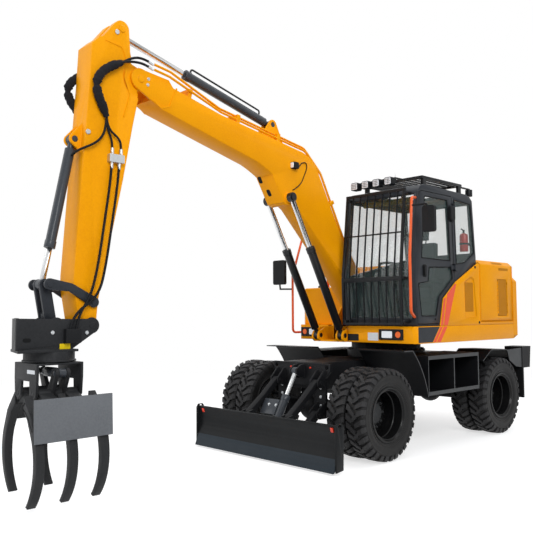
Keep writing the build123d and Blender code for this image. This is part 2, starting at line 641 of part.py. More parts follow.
# Blade linkage: upper links and lower arms of one length, so that the blade stays upright
with BuildPart() as blade:
    with BuildSketch(side(blade_half_width - blade_end_wall + 1)) as section:
        with BuildLine():
            Polyline((blade_lip_x - blade_wall, blade_bottom), (blade_lip_x, blade_bottom),
                     (blade_front_x - 4, blade_lip_top))
            ThreePointArc((blade_front_x - 4, blade_lip_top), (blade_front_x - blade_bow, 330),
                          (blade_front_x - 6, blade_top))
            Line((blade_front_x - 6, blade_top), (blade_front_x - 38, blade_top + 3))
            ThreePointArc((blade_front_x - 38, blade_top + 3), (blade_front_x - blade_bow - blade_wall, 330),
                          (blade_front_x - blade_wall - 8, blade_lip_top))
            Line((blade_front_x - blade_wall - 8, blade_lip_top), (blade_lip_x - blade_wall, blade_bottom))
        make_face()
    extrude(section.sketch, amount=2 * (blade_half_width - blade_end_wall + 1))
    for y_sign in (1, -1):
        y_low, y_high = sorted((y_sign * (blade_half_width - blade_end_wall), y_sign * blade_half_width))
        side_plate(((blade_front_x - 102, 40), (blade_front_x + 14, 25), (blade_front_x + 16, blade_top - 18),
                    (blade_front_x - 10, blade_top + 22), (blade_front_x - 80, blade_top + 22),
                    (blade_front_x - 114, blade_top - 28)), y_low, y_high)
        side_disc((blade_end_hole["x"], blade_end_hole["z"]), blade_end_hole["radius"], y_low - 1, y_high + 1,
                  Mode.SUBTRACT)
        for inner in (-link_width / 2 - side_play - ear_wall, link_width / 2 + side_play):
            low = y_sign * link_y + inner
            side_plate(((blade_back_x + 49, 500), (blade_back_x + 8, 420), (blade_back_x, 330),
                        (blade_back_x + 8, 240), (blade_back_x + 49, 165), (blade_back_x + 65, 80), (2095, 58),
                        (2058, 90), (2062, 150), (2100, 300), (2042, 450), (2048, 510), (2085, 530), (2120, 520)),
                       low, low + ear_wall)
        for pin in (upper_blade_pin, lower_blade_pin):
            side_disc(pin, link_pin_radius + pin_play, y_sign * link_y - 80, y_sign * link_y + 80, Mode.SUBTRACT)
    for low in (-eye_width / 2 - side_play - ear_wall, eye_width / 2 + side_play):
        side_plate(((blade_back_x + 4, 400), (2100, 380), (2000, 300), (1990, 245), (2030, 212),
                    (blade_back_x + 8, 200), (blade_back_x, 330)), low, low + ear_wall)
    side_disc(blade_foot_pin, link_pin_radius + pin_play, -80, 80, Mode.SUBTRACT)
finish(blade.part, "blade")

for name, start, end, ring in (("blade_upper_links", upper_link_pin, upper_blade_pin, 42.0),
                               ("blade_lower_arms", lower_arm_pin, lower_blade_pin, 48.0)):
    with BuildPart() as links:
        for y_middle in (link_y, -link_y):
            middle = ((start[0] + end[0]) / 2, (start[1] + end[1]) / 2)
            side_link(((start, ring), (middle, 0.75 * ring)), y_middle - link_width / 2, y_middle + link_width / 2)
            side_link(((middle, 0.75 * ring), (end, ring)), y_middle - link_width / 2, y_middle + link_width / 2)
            for pin in (start, end):
                side_disc(pin, link_pin_radius, y_middle - 78, y_middle + 78)
    finish(links.part, name)

with BuildPart() as blade_barrel:
    ram_barrel(blade_foot_pin, blade_eye_pin, 0, blade_ram)
    side_disc(blade_foot_pin, link_pin_radius, -72, 72)
    cover_low = along(blade_foot_pin, blade_eye_pin, 0.45 * blade_ram["length"])
    cover_high = along(blade_foot_pin, blade_eye_pin, blade_ram["length"] - 80)
    side_plate((cover_low, cover_high, (cover_high[0] + 40, cover_high[1] + 24), (cover_low[0] + 40, cover_low[1] + 24)),
               -link_y + link_width / 2 + 2 * side_play, -0.85 * blade_ram["radius"])
finish(blade_barrel.part, "blade_ram_barrel")
with BuildPart() as blade_rod:
    ram_rod(blade_foot_pin, blade_eye_pin, 0, blade_ram)
finish(blade_rod.part, "blade_ram_rod")

# Turning platform: spine, side decks with ribs beneath, boom towers and lugs
platform_plan = ((platform_front_x, spine_left_y), (platform_front_x, 1200), (820, platform_side_y),
                 (platform_rear_x, platform_side_y), (platform_rear_x, -platform_side_y),
                 (200, -platform_side_y), (platform_right_front_x, -1060), (platform_right_front_x, spine_right_y),
                 (spine_front_x, spine_right_y), (spine_front_x, spine_left_y))
with BuildPart() as platform:
    level_plate(platform_plan, platform_bottom, platform_top)
    stations = (platform_rear_x + platform_skirt, *deck_rib_stations)
    for index, x_low in enumerate(stations):
        left_end = (stations[1:] + (platform_front_x - platform_skirt,))[index]
        right_end = (stations[1:] + (180,))[index]
        rib = deck_rib_wall if index < len(stations) - 1 else 0
        block(x_low, left_end - rib, spine_left_y + platform_skirt, platform_side_y - platform_skirt - 30,
              platform_bottom - 1, platform_top - platform_deck_wall, Mode.SUBTRACT)
        block(x_low, right_end - rib, -platform_side_y + platform_skirt, spine_right_y - platform_skirt,
              platform_bottom - 1, platform_top - platform_deck_wall, Mode.SUBTRACT)
    for y_side in (1, -1):
        low = boom_y + y_side * (boom_half_width + side_play + tower_wall / 2) - tower_wall / 2
        side_plate(((-420, platform_top - 2), (120, 1745), (215, 1840), (385, 1840), (452, 1760), (640, platform_top - 2)),
                   low, low + tower_wall)
    side_disc(boom_foot, boom_pin_radius + pin_play, -400, 400, Mode.SUBTRACT)
    block(spine_front_x - 2, 905, spine_right_y, 190, platform_bottom, platform_bottom + 22)
    for x_face, y_outer, y_side in lamp_clusters:
        x_front = x_face + lamp_cluster["depth"]
        y_inner = y_outer - y_side * lamp_cluster["width"]
        y_low, y_high = sorted((y_inner, y_outer))
        block(x_face - 2, x_front, y_low, y_high, lamp_cluster["bottom"], lamp_cluster["top"])
        y_low, y_high = sorted((y_inner + y_side * 35, y_inner + y_side * 200))
        block(x_front - lamp_cluster["recess"], x_front + 1, y_low, y_high, lamp_cluster["bottom"] + 18,
              lamp_cluster["top"] - 18, Mode.SUBTRACT)
        long_disc((y_inner + y_side * 280, (lamp_cluster["bottom"] + lamp_cluster["top"]) / 2), 42,
                  x_front - lamp_cluster["recess"], x_front + 1, Mode.SUBTRACT)
    for y_ram in ram_stations_y:
        for inner in (-ram_eye_width / 2 - side_play - ear_wall, ram_eye_width / 2 + side_play):
            low = y_ram + inner
            side_plate(((spine_front_x - 2, platform_bottom), (905, platform_bottom), (950, 1345), (952, 1400),
                        (925, 1448), (880, 1462), (800, 1500), (spine_front_x - 2, platform_top)), low, low + ear_wall)
        side_disc(ram_foot, ram_pin_radius + pin_play, y_ram - 80, y_ram + 80, Mode.SUBTRACT)
finish(platform.part, "platform")

# Counterweight with its round tail
with BuildPart() as weight:
    with BuildSketch(level(platform_bottom)) as plan:
        with BuildLine():
            Polyline((weight_side_x, weight_corner_y), (weight_side_x + weight_corner, platform_side_y),
                     (platform_rear_x - seat_gap, platform_side_y), (platform_rear_x - seat_gap, -platform_side_y),
                     (weight_side_x + weight_corner, -platform_side_y), (weight_side_x, -weight_corner_y))
            ThreePointArc((weight_side_x, -weight_corner_y), (weight_rear_x, 0), (weight_side_x, weight_corner_y))
        make_face()
    extrude(plan.sketch, amount=weight_top - platform_bottom)
    rear_edges = [edge for edge in weight.edges().group_by(Axis.Z)[-1] if edge.center().X < axle_middle_x + weight_edges_x]
    chamfer(rear_edges, weight_bevel, 0.8 * weight_bevel)
    rear_edges = [edge for edge in weight.edges().group_by(Axis.Z)[0] if edge.center().X < axle_middle_x + weight_edges_x]
    chamfer(rear_edges, 0.5 * weight_bevel)
finish(weight.part, "counterweight")

# Engine covers: a hollow hood, its side skins and the grille
with BuildPart() as hood:
    station_plate(((-platform_side_y, platform_top), (platform_side_y, platform_top),
                   (platform_side_y, hood_top - 60), (platform_side_y - 60, hood_top),
                   (-platform_side_y + 60, hood_top), (-platform_side_y, hood_top - 60)),
                  platform_rear_x, hood_front_x)
    station_plate(((-platform_side_y + hood_wall, platform_top - 1), (platform_side_y - hood_wall, platform_top - 1),
                   (platform_side_y - hood_wall, hood_top - 66), (platform_side_y - 66, hood_top - hood_wall),
                   (-platform_side_y + 66, hood_top - hood_wall), (-platform_side_y + hood_wall, hood_top - 66)),
                  platform_rear_x + hood_wall, hood_front_x - hood_wall, Mode.SUBTRACT)
    block(grille["x_low"], grille["x_high"], platform_side_y - 40, platform_side_y + 1, grille["bottom"],
          grille["top"], Mode.SUBTRACT)
    pitch = (grille["top"] - grille["bottom"]) / (grille_slat_count + 1)
    for index in range(grille_slat_count):
        z_slat = grille["bottom"] + pitch * (index + 1)
        block(grille["x_low"] - 1, grille["x_high"] + 1, platform_side_y - hood_wall, platform_side_y - 3,
              z_slat - 6, z_slat + 6)
    side_plate(((hood_front_x - 2, platform_top), (338, platform_top), (252, 1855), (-48, 2072), (-590, 2330),
                (hood_front_x - 2, 2345)), cab_outer_y + seat_gap, platform_side_y)
    side_plate(side_recess, platform_side_y - side_recess_depth, platform_side_y + 1, Mode.SUBTRACT)
    for x_low, x_high, z_low, z_high in (
        (engine_door["x_low"], engine_door["x_low"] + seam_width, engine_door["bottom"], engine_door["top"]),
        (engine_door["x_high"] - seam_width, engine_door["x_high"], engine_door["bottom"], engine_door["top"]),
        (engine_door["x_low"], engine_door["x_high"], engine_door["bottom"], engine_door["bottom"] + seam_width),
    ):
        block(x_low, x_high, platform_side_y - seam_depth, platform_side_y + 1, z_low, z_high, Mode.SUBTRACT)
finish(hood.part, "engine_covers")

with BuildPart() as engine_block:
    block(engine["x_low"], engine["x_high"], -engine["half_width"], engine["half_width"], platform_top, engine["top"])
finish(engine_block.part, "engine_block")

# Tank box at the right front
with BuildPart() as tank:
    level_plate(((hood_front_x + seat_gap, spine_right_y - 10), (tank_front_x, spine_right_y - 10),
                 (tank_front_x, -1060), (190, -1180), (120, -platform_side_y),
                 (hood_front_x + seat_gap, -platform_side_y)), platform_top, tank_top)
    fillet(tank.edges().group_by(Axis.Z)[-1].filter_by(lambda edge: edge.center().X > axle_middle_x - 500), 30)
finish(tank.part, "tank_box")

# Cab: a hollow shell with its door opening and windows
with BuildPart() as cab:
    side_plate(cab_outline, cab_inner_y, cab_outer_y)
    with BuildSketch(side(cab_outer_y - cab_wall)) as hollow:
        Polygon(*cab_outline, align=None)
        offset(amount=-cab_wall, kind=Kind.INTERSECTION, mode=Mode.REPLACE)
    extrude(hollow.sketch, amount=cab_outer_y - cab_inner_y - 2 * cab_wall, mode=Mode.SUBTRACT)
    with BuildSketch(side(cab_outer_y + 1)) as opening:
        Polygon(*door_outline, align=None)
        offset(amount=door_gap, kind=Kind.INTERSECTION, mode=Mode.REPLACE)
    extrude(opening.sketch, amount=cab_wall + 2, mode=Mode.SUBTRACT)
    side_plate(quarter_window, cab_outer_y - cab_wall - 1, cab_outer_y + 1, Mode.SUBTRACT)
    side_plate(right_window, cab_inner_y - 1, cab_inner_y + cab_wall + 1, Mode.SUBTRACT)
    block(660, 900, window_low_y, window_high_y, front_window["bottom"], front_window["top"], Mode.SUBTRACT)
    block(-640, -490, window_low_y, window_high_y, rear_window["bottom"], rear_window["top"], Mode.SUBTRACT)
    block(roof_window["x_low"], roof_window["x_high"], 320, 1030, 3190, 3260, Mode.SUBTRACT)
    for z_hinge in hinge_heights:
        for z_low in (z_hinge - hinge_length / 2 - 20, z_hinge + hinge_length / 2 + 1):
            block(hinge_x - 45, hinge_x - 17, cab_outer_y - 2, hinge_y - 4, z_low, z_low + 19)
            block(hinge_x - 45, hinge_x, cab_outer_y + 4, hinge_y - 4, z_low, z_low + 19)
            upright_disc((hinge_x, hinge_y), hinge_radius, z_low, z_low + 19)
        upright_disc((hinge_x, hinge_y), hinge_pin_radius, z_hinge - hinge_length / 2 - 20,
                     z_hinge + hinge_length / 2 + 20)
finish(cab.part, "cab_shell")

with BuildPart() as cab_glass:
    low, bend, high = (cab_front_x(z) for z in (front_window["bottom"] + seat_gap, 2080, front_window["top"] - seat_gap))
    side_plate(((low[0] - 12, low[1]), (low[0] - 4, low[1]), (bend[0] - 4, bend[1]), (high[0] - 4, high[1]),
                (high[0] - 12, high[1]), (bend[0] - 12, bend[1])), window_low_y + seat_gap, window_high_y - seat_gap)
    low, high = (cab_rear_x(z) for z in (rear_window["bottom"] + seat_gap, rear_window["top"] - seat_gap))
    side_plate(((low[0] + 4, low[1]), (low[0] + 12, low[1]), (high[0] + 12, high[1]), (high[0] + 4, high[1])),
               window_low_y + seat_gap, window_high_y - seat_gap)
    for window, y_low in ((quarter_window, cab_outer_y - 14), (right_window, cab_inner_y + 6)):
        side_plate(window, y_low, y_low + glass_wall)
    block(roof_window["x_low"] + seat_gap, roof_window["x_high"] - seat_gap, 320 + seat_gap, 1030 - seat_gap, 3215, 3223)
finish(cab_glass.part, "cab_glass")

# Door, hinged at its rear edge, and its panes
with BuildPart() as door:
    side_plate(door_outline, cab_outer_y - cab_wall + 2, cab_outer_y + 2)
    for window in (upper_window, lower_window):
        side_plate(window, cab_outer_y - cab_wall, cab_outer_y + 4, Mode.SUBTRACT)
    for z_hinge in hinge_heights:
        block(hinge_x, hinge_x + 70, cab_outer_y, hinge_y - 6, z_hinge - hinge_length / 2, z_hinge + hinge_length / 2)
        upright_disc((hinge_x, hinge_y), hinge_radius, z_hinge - hinge_length / 2, z_hinge + hinge_length / 2)
        upright_disc((hinge_x, hinge_y), hinge_pin_radius + pin_play, z_hinge - hinge_length, z_hinge + hinge_length,
                     Mode.SUBTRACT)
finish(door.part, "door")
with BuildPart() as door_glass:
    for window in (upper_window, lower_window):
        side_plate(window, cab_outer_y - 8 - glass_wall, cab_outer_y - 8)
finish(door_glass.part, "door_glass")

# Front guard: bars and posts in one bent plane, with brackets to the cab
with BuildPart() as front_guard:
    top, bend, foot = guard_outline
    bars = [(guard_side_y[0], guard_post_wall), (guard_side_y[1] - guard_post_wall, guard_post_wall)]
    pitch = (guard_side_y[1] - guard_side_y[0]) / (guard_bar_count + 1)
    bars += [(guard_side_y[0] + pitch * (index + 1) - guard_bar_wall / 2, guard_bar_wall)
             for index in range(guard_bar_count)]
    for y_low, wall in bars:
        side_plate((foot, bend, top, (top[0] - guard_depth, top[1]), (bend[0] - guard_depth, bend[1]),
                    (foot[0] - guard_depth, foot[1])), y_low, y_low + wall)
    for z_bar, height in guard_cross_bars:
        start, end = (foot, bend) if z_bar < bend[1] else (bend, top)
        x_bar = start[0] + (end[0] - start[0]) * (z_bar - start[1]) / (end[1] - start[1])
        block(x_bar - guard_depth, x_bar, guard_side_y[0], guard_side_y[1], z_bar, z_bar + height)
    for z_bracket in (3120, 2085, 1560):
        cab_face = cab_front_x(z_bracket + 30)[0]
        cab_face = max(cab_face, cab_front_x(z_bracket)[0]) + seat_gap
        for y_low in (guard_side_y[0], guard_side_y[1] + 2 - guard_post_wall):
            block(cab_face, 946 if z_bracket < 3000 else 840, y_low, y_low + 54, z_bracket, z_bracket + 30)
finish(front_guard.part, "front_guard")

# Roof guard with its slats, feet and work lamps
with BuildPart() as roof_rack:
    x_low, x_high, bar = roof_guard["x_low"], roof_guard["x_high"], roof_guard["bar"]
    z_low, z_high = roof_guard["bottom"], roof_guard["top"]
    for y_low in (guard_side_y[0], guard_side_y[1] - bar):
        block(x_low, x_high, y_low, y_low + bar, z_low, z_high)
        for x_foot in (x_low + 20, x_high - 90):
            block(x_foot, x_foot + 70, y_low, y_low + bar, cab_roof_z(x_foot + 70) + seat_gap, z_low + 5)
    for x_bar in (x_low, x_high - bar):
        block(x_bar, x_bar + bar, guard_side_y[0], guard_side_y[1], z_low, z_high)
    pitch = (guard_side_y[1] - guard_side_y[0] - bar) / (roof_slat_count + 1)
    for index in range(roof_slat_count):
        y_slat = guard_side_y[0] + bar / 2 + pitch * (index + 1)
        block(x_low + 10, x_high - 10, y_slat - 6, y_slat + 6, z_low + 5, z_high - 5)
    y_first, y_last = lamp_stations_y[0] - lamp_half_width, lamp_stations_y[-1] + lamp_half_width
    for y_strut in (y_first, y_last - bar):
        block(x_high - 5, lamp_x[0] + 5, y_strut, y_strut + bar, lamp_z[1] - 12, lamp_z[1] + 4)
    block(lamp_x[0] - 20, lamp_x[0] + 5, y_first, y_last, lamp_z[0] + 30, lamp_z[1] + 4)
    for y_lamp in lamp_stations_y:
        with BuildSketch(station(lamp_x[0])) as lamp:
            with Locations((y_lamp, (lamp_z[0] + lamp_z[1]) / 2)):
                RectangleRounded(2 * lamp_half_width, lamp_z[1] - lamp_z[0], 20)
        extrude(lamp.sketch, amount=lamp_x[1] - lamp_x[0])
    upright_disc((beacon["x"], guard_side_y[1] - 30), beacon["radius"], beacon["bottom"], beacon["top"])
    block(beacon["x"], x_low + 5, guard_side_y[1] - bar, guard_side_y[1] - 8, beacon["top"] - 2, beacon["top"] + 16)
finish(roof_rack.part, "roof_guard")

# Seat with its arm consoles, and the steering column
with BuildPart() as seat:
    floor = platform_top + cab_wall
    block(-140, 200, 540, 800, floor, 1900)
    block(-180, 320, 430, 910, 1860, 2000)
    side_plate(((-180, 1900), (-60, 1900), (-130, 2640), (-230, 2640)), 450, 890)
    side_plate(((-205, 2630), (-135, 2630), (-160, 2830), (-225, 2830)), 560, 780)
    for y_low in (330, 920):
        block(-120, 330, y_low, y_low + 90, 2060, 2120)
        block(-40, 60, y_low + 10, y_low + 80, 1880, 2065)
        upright_disc((270, y_low + 45), 22, 2110, 2260)
    for y_low in (380, 840):
        block(-100, 120, y_low, y_low + 120, 1880, 1940)
finish(seat.part, "seat")
with BuildPart() as column:
    side_plate(((600, floor), (690, floor), (560, 2262), (500, 2246)), 630, 710)
    with BuildSketch(Plane(origin=(axle_middle_x + 515, 670, 2240), x_dir=(0, 1, 0), z_dir=(-0.35, 0, 1))) as wheel:
        Circle(190)
        Circle(160, mode=Mode.SUBTRACT)
        Rectangle(350, 36)
        Circle(48)
    extrude(wheel.sketch, amount=26)
    block(540, 700, 230, 420, floor, 1640)
    block(540, 700, 860, 1050, floor, 1640)
    block(600, 690, 400, 640, floor, floor + 20)
    block(600, 690, 700, 870, floor, floor + 20)
finish(column.part, "steering_column")

# Handrails and mirrors
with BuildPart() as rails:
    for path_points in (right_rail, left_rail):
        points = [(axle_middle_x + x, y, z) for x, y, z in path_points]
        with BuildLine() as path:
            FilletPolyline(*points, radius=rail_bend)
        with BuildSketch(Plane(origin=path.line @ 0, z_dir=path.line % 0)) as section:
            Circle(rail_radius)
        sweep(section.sketch, path=path.line)
    for mirror in mirrors:
        x, y, z = mirror["centre"]
        with BuildSketch(station(x - mirror["depth"] / 2)) as glass:
            with Locations((y, z)):
                RectangleRounded(mirror["width"], mirror["height"], mirror_corner)
        extrude(glass.sketch, amount=mirror["depth"])
        arm_points = [(axle_middle_x + x, y, z) for x, y, z in mirror["arm"]]
        with BuildLine() as path:
            Polyline(*arm_points)
        with BuildSketch(Plane(origin=path.line @ 0, z_dir=path.line % 0)) as section:
            Circle(12)
        sweep(section.sketch, path=path.line, transition=Transition.RIGHT)
finish(rails.part, "handrails")

# Boom: a bent box beam with a fork at its tip
with BuildPart() as boom:
    with BuildSketch(side(boom_y + boom_half_width)) as web:
        with BuildLine():
            Polyline((3950, 4180), (3580, 4140), (3521, 4067), (2855, 3911), (1541, 3701))
            ThreePointArc((1541, 3701), (1355, 3611), (1225, 3450))
            Polyline((1225, 3450), (744, 2597), (180, 1770), (330, 1590), (799, 2156), (1640, 2995))
            ThreePointArc((1640, 2995), (1953, 3277), (2329, 3468))
            Polyline((2329, 3468), (3666, 3808), (4000, 3985), (3950, 4180))
        make_face()
        with Locations(boom_foot):
            Circle(boom_foot_radius)
        with Locations(arm_pin):
            Circle(boom_tip_radius)
        with Locations(ram_eye):
            Circle(88)
    extrude(web.sketch, amount=2 * boom_half_width)
    side_plate(((1560, 2940), (1725, 3045), (1870, 3025), (2060, 3340), (1760, 3330)), boom_y - boom_half_width,
               boom_y + boom_half_width)
    side_disc(arm_pin, fork_radius, boom_y - fork_half_width, boom_y + fork_half_width, Mode.SUBTRACT)
    side_disc(arm_pin, arm_pin_radius, boom_y - boom_half_width - pin_head, boom_y + boom_half_width + pin_head)
    reach = ram_offset - ram_eye_width / 2 - side_play
    side_disc(ram_eye, 62, boom_y - reach, boom_y + reach)
    reach = boom_half_width + side_play + tower_wall
    side_disc(boom_foot, boom_pin_radius, boom_y - reach, boom_y + reach)
    for low in (-eye_width / 2 - side_play - lug_wall, eye_width / 2 + side_play):
        side_link(((arm_ram_foot, 62), ((1790, 3720), 20), ((2160, 3785), 20)), boom_y + low, boom_y + low + lug_wall)
    side_disc(arm_ram_foot, ram_pin_radius + pin_play, boom_y - 80, boom_y + 80, Mode.SUBTRACT)
    block(1660, 1750, boom_y + boom_half_width - 2, boom_y + boom_half_width + 60, 3460, 3540)
finish(boom.part, "boom")

# Boom cylinders, one each side of the boom
with BuildPart() as boom_barrels:
    for y_ram in ram_stations_y:
        ram_barrel(ram_foot, ram_eye, y_ram, boom_ram)
        reach = ram_eye_width / 2 + side_play + ear_wall
        side_disc(ram_foot, ram_pin_radius, y_ram - reach, y_ram + reach)
finish(boom_barrels.part, "boom_ram_barrels")
with BuildPart() as boom_rods:
    for y_ram in ram_stations_y:
        ram_rod(ram_foot, ram_eye, y_ram, boom_ram)
        outward = 1 if y_ram > boom_y else -1
        y_low, y_high = sorted((y_ram, y_ram + outward * (ram_eye_width / 2 + pin_head)))
        side_disc(ram_eye, ram_pin_radius + 8, y_low, y_high)
finish(boom_rods.part, "boom_ram_rods")

# Arm with its lever, its cylinder lugs and its tip bosses
with BuildPart() as arm:
    with BuildSketch(side(boom_y + arm_half_width)) as web:
        Polygon((4387, 4392), (4479, 4303), (4499, 3936), (4635, 2043), (4634, 1929), (4575, 1600), (4400, 1600),
                (4381, 1817), (4120, 3004), (4013, 3568), (3941, 3902), (4033, 4248), (4082, 4460), align=None)
        for centre, radius in ((arm_ram_eye, 85), (tool_pin, 65), (idler_pin, 62)):
            with Locations(centre):
                Circle(radius)
    extrude(web.sketch, amount=2 * arm_half_width)
    side_link(((arm_ram_eye, 85), ((4300, 4330), 90), ((4130, 4330), 80)), boom_y - arm_half_width, boom_y + arm_half_width)
    for y_low in (boom_y - arm_half_width - 1, boom_y + arm_boss_half_width):
        side_disc(arm_pin, arm_pocket_radius, y_low, y_low + arm_half_width - arm_boss_half_width + 1, Mode.SUBTRACT)
    side_link(((arm_pin, arm_boss_radius), ((4140, 4070), 170)), boom_y - arm_boss_half_width, boom_y + arm_boss_half_width)
    side_disc(arm_pin, arm_pin_radius + pin_play, boom_y - 160, boom_y + 160, Mode.SUBTRACT)
    slot = eye_width / 2 + side_play
    side_disc(arm_ram_eye, lever_slot_radius, boom_y - slot, boom_y + slot, Mode.SUBTRACT)
    for y_low in (boom_y - arm_half_width - pin_head, boom_y + slot):
        side_disc(arm_ram_eye, ram_pin_radius + 8, y_low, y_low + arm_half_width + pin_head - slot)
    for low in (-slot - lug_wall, slot):
        side_link(((tool_ram_foot, 56), ((4500, 3520), 20), ((4522, 3230), 16)), boom_y + low, boom_y + low + lug_wall)
    side_disc(tool_ram_foot, tool_pin_radius + pin_play, boom_y - 80, boom_y + 80, Mode.SUBTRACT)
    for pin in (tool_pin, idler_pin):
        side_disc(pin, tool_pin_radius + pin_play, boom_y - 140, boom_y + 140, Mode.SUBTRACT)
finish(arm.part, "arm")

# Arm cylinder and tool cylinder
for name, foot, eye, sizes, pin_radius in (("arm_ram", arm_ram_foot, arm_ram_eye, arm_ram, ram_pin_radius),
                                           ("tool_ram", tool_ram_foot, knee_pin, tool_ram, tool_pin_radius)):
    with BuildPart() as barrel:
        ram_barrel(foot, eye, boom_y, sizes)
        reach = eye_width / 2 + side_play + lug_wall
        side_disc(foot, pin_radius, boom_y - reach, boom_y + reach)
    finish(barrel.part, f"{name}_barrel")
    with BuildPart() as rod:
        ram_rod(foot, eye, boom_y, sizes)
    finish(rod.part, f"{name}_rod")

# Tool linkage: idler links, push link and the tool bracket with its rotator ring
with BuildPart() as idlers:
    knee_bend = (4680, 1930)
    for y_sign in (1, -1):
        y_low, y_high = sorted((boom_y + y_sign * (idler_half_width - idler_wall), boom_y + y_sign * idler_half_width))
        side_link(((idler_pin, 50), (knee_bend, 38)), y_low, y_high)
        side_link(((knee_bend, 38), (knee_pin, 52)), y_low, y_high)
        y_low, y_high = sorted((boom_y + y_sign * (eye_width / 2 + 3), boom_y + y_sign * (idler_half_width + 8)))
        side_disc(knee_pin, tool_pin_radius, y_low, y_high)
    side_disc(idler_pin, tool_pin_radius, boom_y - idler_half_width - 8, boom_y + idler_half_width + 8)
finish(idlers.part, "idler_links")
with BuildPart() as push_link:
    for low in (-push_half_width, eye_width / 2 + 3):
        high = low + push_half_width - eye_width / 2 - 3
        side_link(((knee_pin, 52), (bracket_pin, 52)), boom_y + low, boom_y + high)
    side_link(((along(bracket_pin, knee_pin, 90), 44), (bracket_pin, 52)), boom_y - push_half_width, boom_y + push_half_width)
    side_disc(knee_pin, tool_pin_radius + pin_play, boom_y - 80, boom_y + 80, Mode.SUBTRACT)
finish(push_link.part, "push_link")
with BuildPart() as bracket:
    for y_sign in (1, -1):
        y_low, y_high = sorted((boom_y + y_sign * (bracket_half_width - bracket_wall), boom_y + y_sign * bracket_half_width))
        x_front = bracket_front_x if y_sign > 0 else bracket_far_x
        side_plate(((x_front, bracket_top), (x_front, bracket_base_top - 2), (4660, bracket_base_top - 2),
                    (bracket_rear_x - 20, 1520), (bracket_rear_x, 1640), (4760, 1640)), y_low, y_high)
        side_disc(tool_pin, 75, y_low, y_high)
        side_disc(bracket_pin, 70, y_low, y_high)
        y_low, y_high = sorted((boom_y + y_sign * (push_half_width + 8), boom_y + y_sign * bracket_half_width))
        side_disc(bracket_pin, 44, y_low, y_high)
    side_disc(tool_pin, tool_pin_radius, boom_y - bracket_half_width - 8, boom_y + bracket_half_width + 8)
    level_plate(((rotator_x - bracket_base_back, boom_y - 215), (bracket_far_x - 8, boom_y - 215), (bracket_front_x + 5, boom_y + 215),
                 (rotator_x - bracket_base_back, boom_y + 215)), rotator_top, bracket_base_top)
    level_plate(((bracket_far_x - 20, boom_y - bracket_half_width), (bracket_far_x, boom_y - bracket_half_width),
                 (bracket_front_x, boom_y + bracket_half_width), (bracket_front_x - 20, boom_y + bracket_half_width)),
                bracket_base_top - 2, bracket_top)
    block(4600, 4750, boom_y + bracket_half_width - 2, boom_y + bracket_half_width + 55, 1420, 1550)
    upright_disc((rotator_x, boom_y), rotator_radius, rotator_bottom, rotator_top)
    upright_disc((rotator_x, boom_y), rotator_radius + rotator_bolt_ring, rotator_bottom, rotator_bottom + 16)
    upright_disc((rotator_x, boom_y), spigot_radius + pin_play, rotator_bottom - 1, rotator_bottom + 60, Mode.SUBTRACT)
finish(bracket.part, "tool_bracket")

# Grab: the turning frame and its two jaws
with BuildPart() as grab_frame:
    block(rotator_x - grab_half, rotator_x + grab_half, boom_y - grab_half, boom_y + grab_half,
          grab_top - grab_plate_wall, grab_top)
    upright_disc((rotator_x, boom_y), spigot_radius, grab_top - 1, rotator_bottom + 55)
    for x_sign in (1, -1):
        x_low, x_high = sorted((rotator_x + x_sign * (grab_half - grab_leg_wall), rotator_x + x_sign * grab_half))
        station_plate(((boom_y - grab_half, grab_top - 1), (boom_y - grab_half, 1120), (boom_y - 212, 960),
                       (boom_y - 150, 913), (boom_y - 88, 960), (boom_y - 80, 1090), (boom_y + 80, 1090),
                       (boom_y + 88, 960), (boom_y + 150, 913), (boom_y + 212, 960), (boom_y + grab_half, 1120),
                       (boom_y + grab_half, grab_top - 1)), x_low, x_high)
        for y_sign in (1, -1):
            long_disc((boom_y + y_sign * jaw_pivot[0], jaw_pivot[1]), jaw_pivot_radius + pin_play, x_low - 1,
                      x_high + 1, Mode.SUBTRACT)
finish(grab_frame.part, "grab_frame")

